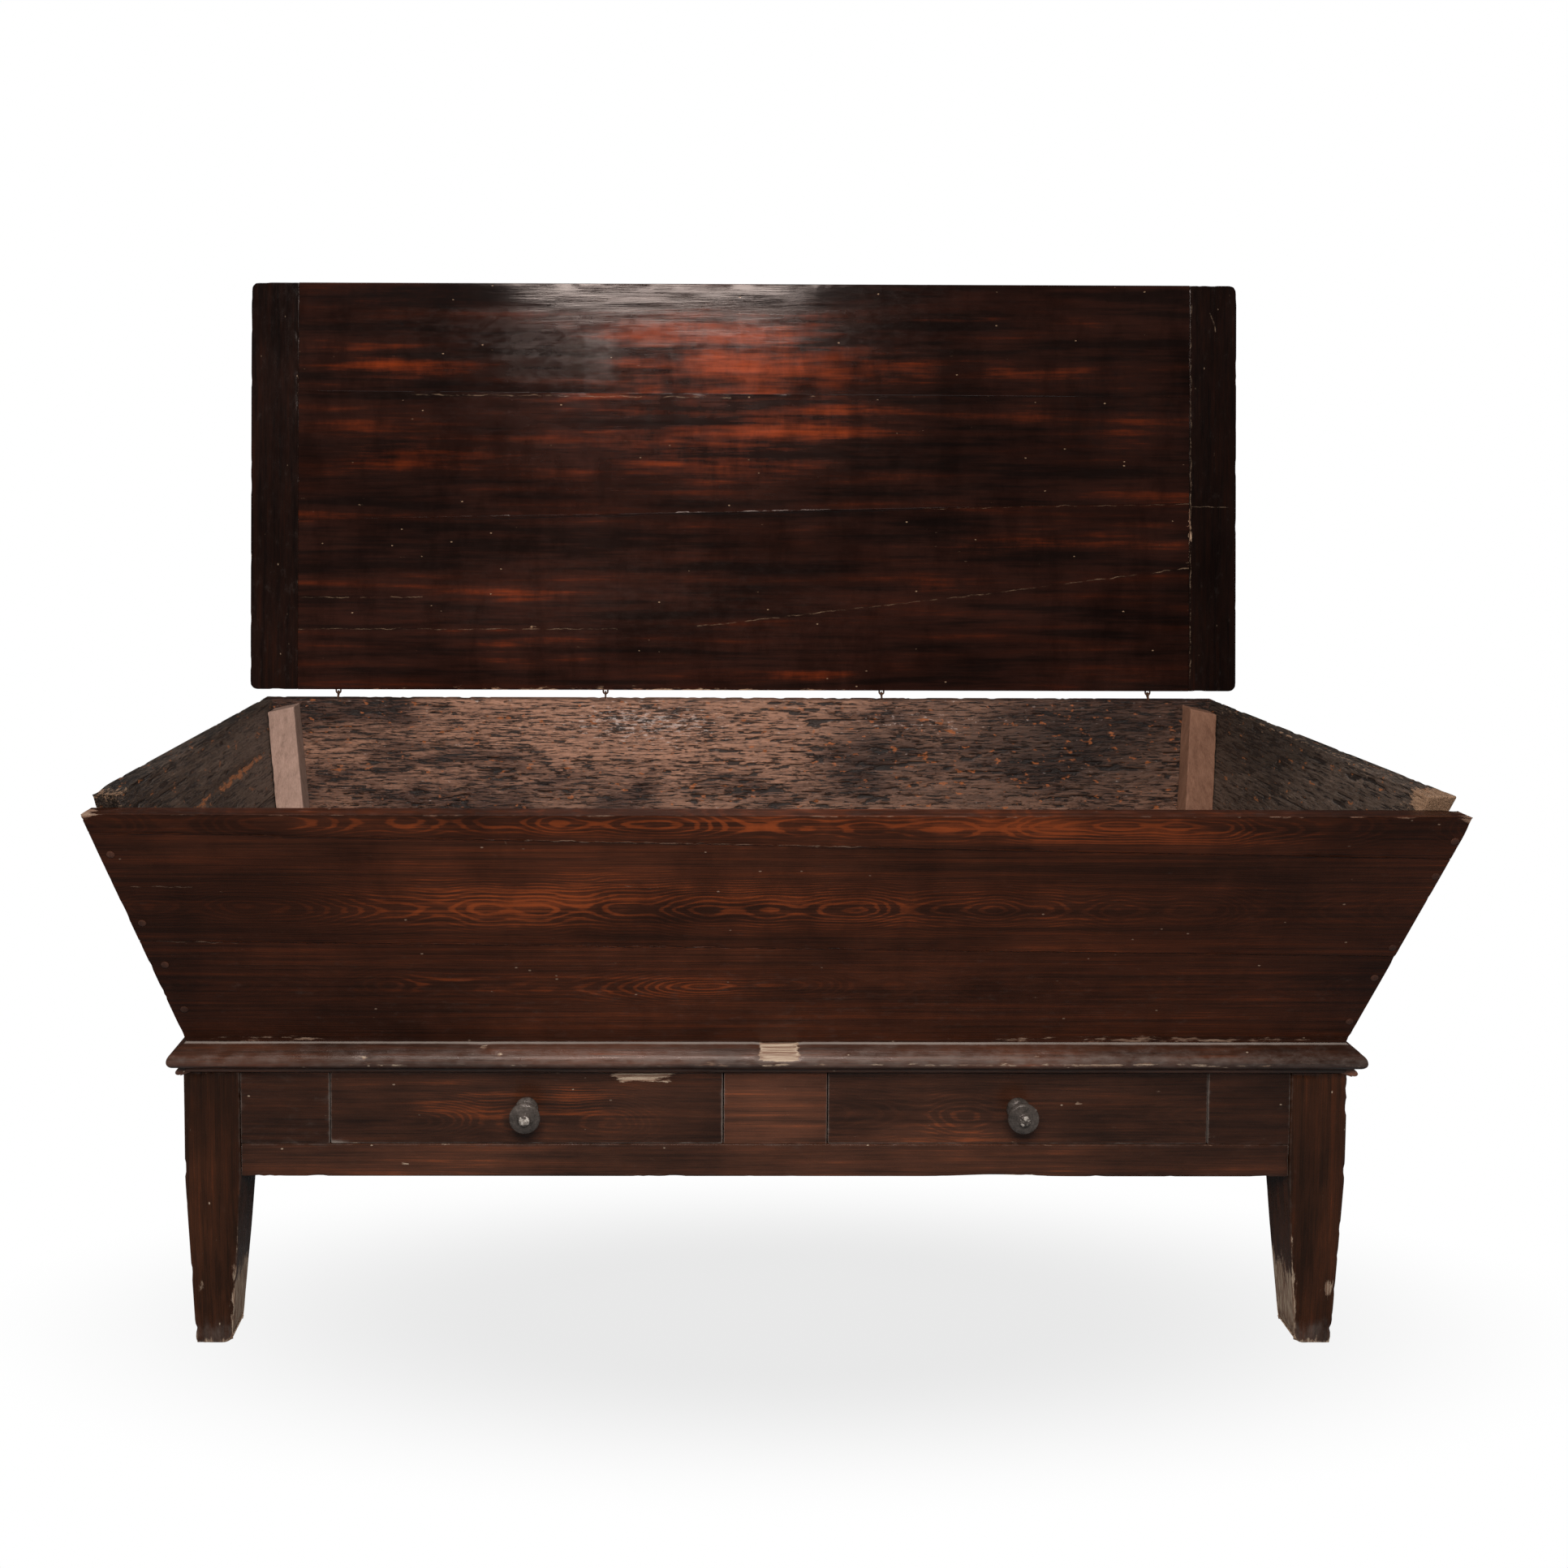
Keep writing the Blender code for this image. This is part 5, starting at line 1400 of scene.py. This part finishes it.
@dataclass
class Stand:
    """Four tapered legs with their rail, aprons and front blocks."""

    foot_outer: float = 0.009
    foot_inner: float = 0.015
    rail_thick: float = 0.026
    apron_thick: float = 0.022
    block_thick: float = 0.022
    leg_seed: int = 91
    rail_seed: int = 101
    block_seed: int = 111
    blocks: tuple[tuple[str, float, float], ...] = (
        ("left_block", -0.687, DRAWER_EDGES[0]), ("middle_block", *DRAWER_EDGES[1:3]),
        ("right_block", DRAWER_EDGES[3], 0.687))
    foot_marks: tuple[Mark, ...] = (
        *marks(Layer.WORN, (0.697, 0.060, 0.006, 0.050, 0.75, 0.0015),
               (0.700, 0.020, 0.008, 0.030, 0.45, 0.0020), (0.725, 0.001, 0.06, 0.009, 0.50)),
        *marks(Layer.WORN, (0.744, 0.078, 0.010, 0.014, 0.55), (0.692, 0.140, 0.003, 0.030, 0.35),
               side=(2, -1)),
        *marks(Layer.DUST, (0.725, 0.012, 0.05, 0.020, 0.35)),
        *marks(Layer.LIGHT, (0.725, 0.06, 0.2, 0.12, 0.5)),
        *marks(Layer.SOOT, (0.700, 0.002, 0.007, 0.010, 0.2, 0.006),
               (0.7505, 0.020, 0.004, 0.005, 0.2, 0.004)))
    block_marks: tuple[Mark, ...] = (
        # Painted light on the middle block, painted shade on the outer ones.
        *marks(Layer.LIGHT, (0.01, 0.32, 0.12, 0.2, 1.2), (-0.64, 0.32, 0.12, 0.2, -0.15),
               (0.64, 0.32, 0.12, 0.2, -0.15)),
        *marks(Layer.DUST, (-0.64, 0.32, 0.12, 0.2, 0.05)))
    rail_marks: tuple[Mark, ...] = (
        *marks(Layer.WORN, (0.30, 0.230, 0.05, 0.003, 0.4, 0.0025)),
        *marks(Layer.WORN, (-0.4715, 0.247, 0.008, 0.0025, 0.9), side=(2, -1)),
        # Painted light over the middle of the rail.
        *marks(Layer.LIGHT, (-0.1, 0.25, 0.55, 0.1, 0.75)))

    def build(self) -> None:
        """Model and dress the stand."""
        depths, sides = (("front", -1), ("back", 1)), (("left", -1), ("right", 1))
        legs = itertools.product(depths, sides)
        for number, ((depth_word, depth), (side_word, side)) in enumerate(legs):
            self.build_leg(f"{depth_word}_{side_word}_leg", side, depth, self.leg_seed + number)
        self.build_rails()
        self.build_blocks()

    def build_leg(self, name: str, side: int, depth: int, seed: int) -> None:
        """One leg, square at the aprons and tapered below.

        Args:
            name: The piece's name.
            side: -1 for left, 1 for right.
            depth: -1 for front, 1 for back.
            seed: Picks its own wear.
        """
        def place(sizes: np.ndarray) -> np.ndarray:
            """Sizes on the leg to places in the room."""
            down = np.clip(1 - sizes[:, 0] / RAIL_BOTTOM, 0.0, 1.0)
            taper = LEG_SIDE - down * (self.foot_outer + self.foot_inner)
            x = STAND_HALF - down * self.foot_outer - sizes[:, 1] / LEG_SIDE * taper
            y = STAND_DEEP - down * self.foot_outer - sizes[:, 2] / LEG_SIDE * taper
            return points(side * x, depth * y + STAND_SHIFT, sizes[:, 0])

        both = [replace(mark, at=(hand * mark.at[0], mark.at[1]))
                for hand in (-1, 1) for mark in self.foot_marks]
        Timber(name, (LEG_HEIGHT, LEG_SIDE, LEG_SIDE), place, seed, cells=(0.006, 0.005, 0.005),
               arris=0.0025, wear=Wear(wave=0.0008, wave_size=(0.10, 0.05, 0.05), chip=0.0022),
               marks=tuple(both), tight=ENDS, coats=((1, 1, Layer.DUST, 0.10),),
               ).fit(LEG, Grain.ALONG_Z, "stained_pine")

    def build_rails(self) -> None:
        """The front lower rail and the three aprons."""
        clear_x, clear_y = STAND_HALF - LEG_SIDE - GAP, STAND_DEEP - LEG_SIDE - GAP
        face, outer = STAND_DEEP - FACE_SETBACK, STAND_HALF - FACE_SETBACK
        apron = self.apron_thick
        rails = (("front_rail", 0, -face, RAIL_TOP, self.rail_thick),
                 ("back_apron", 0, face - apron, LEG_HEIGHT, apron),
                 ("left_apron", 1, -outer, LEG_HEIGHT, apron),
                 ("right_apron", 1, outer - apron, LEG_HEIGHT, apron))
        for number, (name, axis, start, top, thick) in enumerate(rails):
            half = clear_y if axis else clear_x

            def place(sizes: np.ndarray) -> np.ndarray:
                """Sizes on the rail to places in the room."""
                along, deep = sizes[:, 0] - half, start + sizes[:, 2]
                x, y = (deep, along) if axis else (along, deep)
                return points(x, y + STAND_SHIFT, RAIL_BOTTOM + sizes[:, 1])

            Timber(name, (2 * half, top - RAIL_BOTTOM, thick), place, self.rail_seed + number,
                   cells=(0.007, 0.005, 0.007), arris=0.0016, wear=Wear(wave=0.0007, chip=0.0012),
                   marks=self.rail_marks if name == "front_rail" else (),
                   coats=tuple((*end, Layer.DUST, 0.8) for end in ENDS),
                   ).fit(STAINED, Grain.ALONG_Y if axis else Grain.ALONG_X, "stained_pine")

    def build_blocks(self) -> None:
        """The blocks beside the drawers."""
        for number, (name, left, right) in enumerate(self.blocks):
            def place(sizes: np.ndarray) -> np.ndarray:
                """Sizes on the block to places in the room."""
                return points(left + GAP + sizes[:, 0], FRONT_FACE + sizes[:, 2],
                              RAIL_TOP + GAP + sizes[:, 1])

            size = (right - left - 2 * GAP, LEG_HEIGHT - RAIL_TOP - GAP, self.block_thick)
            Timber(name, size, place, self.block_seed + number, cells=(0.006, 0.005, 0.007),
                   arris=0.0012, wear=Wear(wave=0.0005, chip=0.0008), marks=self.block_marks,
                   tight=ENDS, coats=tuple((*end, Layer.DUST, 0.5) for end in ENDS),
                   ).fit(STAINED, Grain.ALONG_X, "stained_pine")


@dataclass
class Drawer:
    """A drawer: its worn front and knob, and the raw wood behind them."""

    name: str
    left: float
    right: float
    seed: int
    marks: tuple[Mark, ...]
    heart: float = 0.30
    opening: float = 0.097
    reveal: float = 0.0010
    front_thick: float = 0.022
    side_show: float = 0.0004
    knob_radius: float = 0.02025
    knob_length: float = 0.036
    knob_wear: float = 0.5
    knob_profile: tuple[Pair, ...] = (
        (0.04, 1.0), (0.22, 0.990), (0.33, 0.965), (0.385, 0.93), (0.40, 0.90), (0.44, 0.880),
        (0.62, 0.862), (0.80, 0.840), (0.91, 0.815), (0.975, 0.780), (1.0, 0.735), (0.985, 0.690),
        (0.92, 0.645), (0.82, 0.610), (0.64, 0.570), (0.52, 0.515), (0.465, 0.450), (0.45, 0.390),
        (0.47, 0.320), (0.53, 0.265), (0.64, 0.205), (0.72, 0.165), (0.765, 0.110), (0.76, 0.050),
        (0.74, 0.008), (0.32, 0.008), (0.32, -0.30))

    def build(self) -> None:
        """Model and dress the drawer."""
        inset = self.reveal + self.side_show

        def place(sizes: np.ndarray) -> np.ndarray:
            """Sizes on the front to places in the room."""
            return points(self.left + inset + sizes[:, 0], FRONT_FACE + sizes[:, 2],
                          RAIL_TOP + self.reveal + sizes[:, 1])

        size = (self.right - self.left - 2 * inset, self.opening - 2 * self.reveal,
                self.front_thick)
        dusty = tuple((*end, Layer.DUST, 0.5) for end in ENDS)
        Timber(f"{self.name}_front", size, place, self.seed, cells=(0.006, 0.004, 0.007),
               arris=0.0015, wear=Wear(wave=0.0007, chip=0.001), marks=self.marks,
               tight=ENDS + EDGES, coats=(*dusty, (1, -1, Layer.DUST, 0.9)), heart=self.heart,
               ).fit(STAINED, Grain.ALONG_X, "stained_pine", self.name)
        profile = tuple((share, up * self.knob_length) for share, up in self.knob_profile)
        knob = Turned(f"{self.name}_knob", profile, self.knob_radius, self.seed + 1, sides=40,
                      tip_wear=self.knob_wear)
        middle = ((self.left + self.right) / 2, FRONT_FACE, RAIL_TOP + self.opening / 2)
        placing = Matrix.Translation(middle) @ Matrix.Rotation(math.pi / 2, 4, "X")
        dress(knob.build(placing), KNOB.material(Grain.ALONG_Y), self.name, "turned_knob",
              f"{self.name}_knob")
        for grain, words in ((Grain.ALONG_Y, ("left_side", "right_side")),
                             (Grain.ALONG_X, ("back", "bottom")),
                             (Grain.ALONG_Y, ("left_runner", "right_runner"))):
            for word in words:
                dress_solid(f"{self.name}_{word}", RAW.material(grain))


@dataclass
class EyeHinges:
    """Four pairs of linked wire eyes."""

    count: int = 4

    def build(self) -> None:
        """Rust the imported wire."""
        rusty = IRON.material()
        for number in range(1, self.count + 1):
            dress_solid(f"lower_eye_{number}", rusty)
            dress_solid(f"upper_eye_{number}", rusty)


@dataclass(frozen=True)
class Lamp:
    """A soft light: where it hangs, what it faces, its size, watts and what it lights."""

    name: str
    place: Triple
    aim: Triple
    size: Pair
    power: float
    glossy: bool = True
    diffuse: bool = True
    tint: Triple = (1.0, 1.0, 1.0)

    def hang(self) -> None:
        """Hang the light."""
        lamp = bpy.data.lights.new(self.name, "AREA")
        lamp.shape = "RECTANGLE"
        lamp.size, lamp.size_y = self.size
        lamp.energy, lamp.color = self.power, self.tint
        hung = bpy.data.objects.new(self.name, lamp)
        hung.visible_glossy, hung.visible_diffuse = self.glossy, self.diffuse
        bpy.context.scene.collection.objects.link(hung)
        turn = (Vector(self.place) - Vector(self.aim)).to_track_quat("Z", "Y")
        hung.matrix_world = Matrix.Translation(self.place) @ turn.to_matrix().to_4x4()


@dataclass
class Studio:
    """Pale floor, soft lights and the camera."""

    lens: float = 29.2078
    sensor: float = 36.0
    shift: Pair = (0.0742, -0.16827)
    camera_place: Triple = (-0.13837, -1.83113, 1.15953)
    yaw: float = -0.00429
    tilt: float = 0.04252
    roll: float = 0.00313
    lamps: tuple[Lamp, ...] = (
        Lamp("key_light", (-0.14, -1.80, 1.80), (0.0, 0.1, 0.75), (1.0, 0.7), 64.0, glossy=False),
        Lamp("glint_light", (-0.14, -2.0, 2.22), (0.0, 0.3, 1.1), (1.00, 0.42), 25.0,
             diffuse=False, tint=(1.0, 0.82, 0.74)),
        Lamp("top_light", (0.0, 0.5, 3.2), (0.0, 0.0, 0.0), (2.4, 1.6), 40.0),
        Lamp("back_light", (0.6, 3.0, 2.2), (0.0, 0.3, 0.7), (2.0, 1.0), 60.0, glossy=False),
        Lamp("left_light", (-3.0, -0.6, 1.0), (0.0, 0.1, 0.6), (1.5, 1.0), 36.0, glossy=False),
        Lamp("right_light", (3.0, -0.6, 1.0), (0.0, 0.1, 0.6), (1.5, 1.0), 36.0, glossy=False))
    around_level: float = 0.03
    floor_size: float = 60.0
    floor_tone: float = 0.10
    shadow_middle: Pair = (0.03, -0.13)
    shadow_reach: Pair = (1.02, 0.31)
    shadow_edge: Pair = (0.35, 1.15)
    shadow_level: float = 0.81

    def build(self) -> None:
        """Set the stage."""
        self.build_floor()
        self.build_world()
        for lamp in self.lamps:
            lamp.hang()
        self.build_camera()

    def build_floor(self) -> None:
        """A wide pale floor that shows the camera a painted soft shadow and throws little light
        back.
        """
        deselect_all()
        bpy.ops.mesh.primitive_plane_add(size=self.floor_size)
        floor = bpy.context.object
        floor.name = "floor"
        graph = new_material("pale_floor")
        shader = graph.tree.nodes["Principled BSDF"]
        shader.inputs["Base Color"].default_value = (*[self.floor_tone] * 3, 1.0)
        shader.inputs["Roughness"].default_value = 0.9
        away = graph.vector("SUBTRACT", graph.places(), (*self.shadow_middle, 0.0))
        shares = (1 / self.shadow_reach[0], 1 / self.shadow_reach[1], 0.0)
        far = graph.vector("LENGTH", graph.vector("MULTIPLY", away, shares), output="Value")
        # Painted shadow: the glow dims towards a soft patch under the object.
        level = far.span(*self.shadow_edge, self.shadow_level, 1.0)
        seen = graph.value("ShaderNodeEmission", Color=(1.0, 1.0, 1.0, 1.0), Strength=level)
        camera = graph.value("ShaderNodeLightPath", output="Is Camera Ray")
        choice = graph.add("ShaderNodeMixShader")
        for socket, value in zip(choice.inputs, (camera, Value(graph, shader.outputs[0]), seen)):
            graph.feed(socket, value)
        graph.feed(graph.tree.nodes["Material Output"].inputs["Surface"],
                   Value(graph, choice.outputs[0]))
        floor.data.materials.append(bpy.data.materials["pale_floor"])

    def build_world(self) -> None:
        """White behind the object, and dim light from all around."""
        world = bpy.data.worlds.new("studio")
        bpy.context.scene.world = world
        world.use_nodes = True
        graph = Graph(world.node_tree)
        camera = graph.value("ShaderNodeLightPath", output="Is Camera Ray")
        level = graph.value("ShaderNodeMapRange", Value=camera, To_Min=self.around_level,
                            To_Max=1.0)
        around = graph.tree.nodes["Background"]
        graph.feed(around.inputs["Color"], (1.0, 1.0, 1.0, 1.0))
        graph.feed(around.inputs["Strength"], level)

    def build_camera(self) -> None:
        """The photograph's view."""
        eye = bpy.data.cameras.new("camera")
        eye.sensor_width = self.sensor
        eye.lens = self.lens
        eye.shift_x, eye.shift_y = self.shift
        camera = bpy.data.objects.new("camera", eye)
        bpy.context.scene.collection.objects.link(camera)
        turns = ((self.yaw, "Z"), (math.pi / 2 - self.tilt, "X"), (self.roll, "Z"))
        view = Matrix.Translation(self.camera_place)
        for angle, axis in turns:
            view = view @ Matrix.Rotation(angle, 4, axis)
        camera.matrix_world = view
        bpy.context.scene.camera = camera
        bpy.context.scene.view_settings.view_transform = "Standard"


LEFT_DRAWER_MARKS = (
    *marks(Layer.WORN, (-0.163, 0.3625, 0.040, 0.0065, 1.2, 0.003)),
    *marks(Layer.RED, (-0.38, 0.315, 0.12, 0.03, 0.5), (-0.25, 0.33, 0.06, 0.04, 0.5)),
    *marks(Layer.DUST, (-0.565, 0.274, 0.02, 0.004, 0.6), (-0.0556, 0.315, 0.0022, 0.05, 1.0)),
    # Painted light towards the middle of the stand.
    *marks(Layer.LIGHT, (-0.15, 0.32, 0.2, 0.2, 0.15)))
RIGHT_DRAWER_MARKS = (
    # Painted light towards the middle of the stand.
    *marks(Layer.LIGHT, (0.18, 0.32, 0.2, 0.2, 0.65)),
    *marks(Layer.RED, (0.25, 0.315, 0.10, 0.03, 0.5)),
    *marks(Layer.WORN, (0.410, 0.328, 0.006, 0.003, 0.7)))


def main() -> None:
    """Build the dough box, then the studio."""
    logging.basicConfig(level=logging.INFO, format="%(message)s")
    drawers = (
        Drawer("left_drawer", *DRAWER_EDGES[:2], seed=121, marks=LEFT_DRAWER_MARKS),
        Drawer("right_drawer", *DRAWER_EDGES[2:], seed=131, marks=RIGHT_DRAWER_MARKS, heart=0.31))
    for assembly in (Lid(), Trough(), MouldedFrame(), Stand(), *drawers, EyeHinges(), Studio()):
        log.info("building %s", type(assembly).__name__)
        assembly.build()


if __name__ == "__main__":
    main()
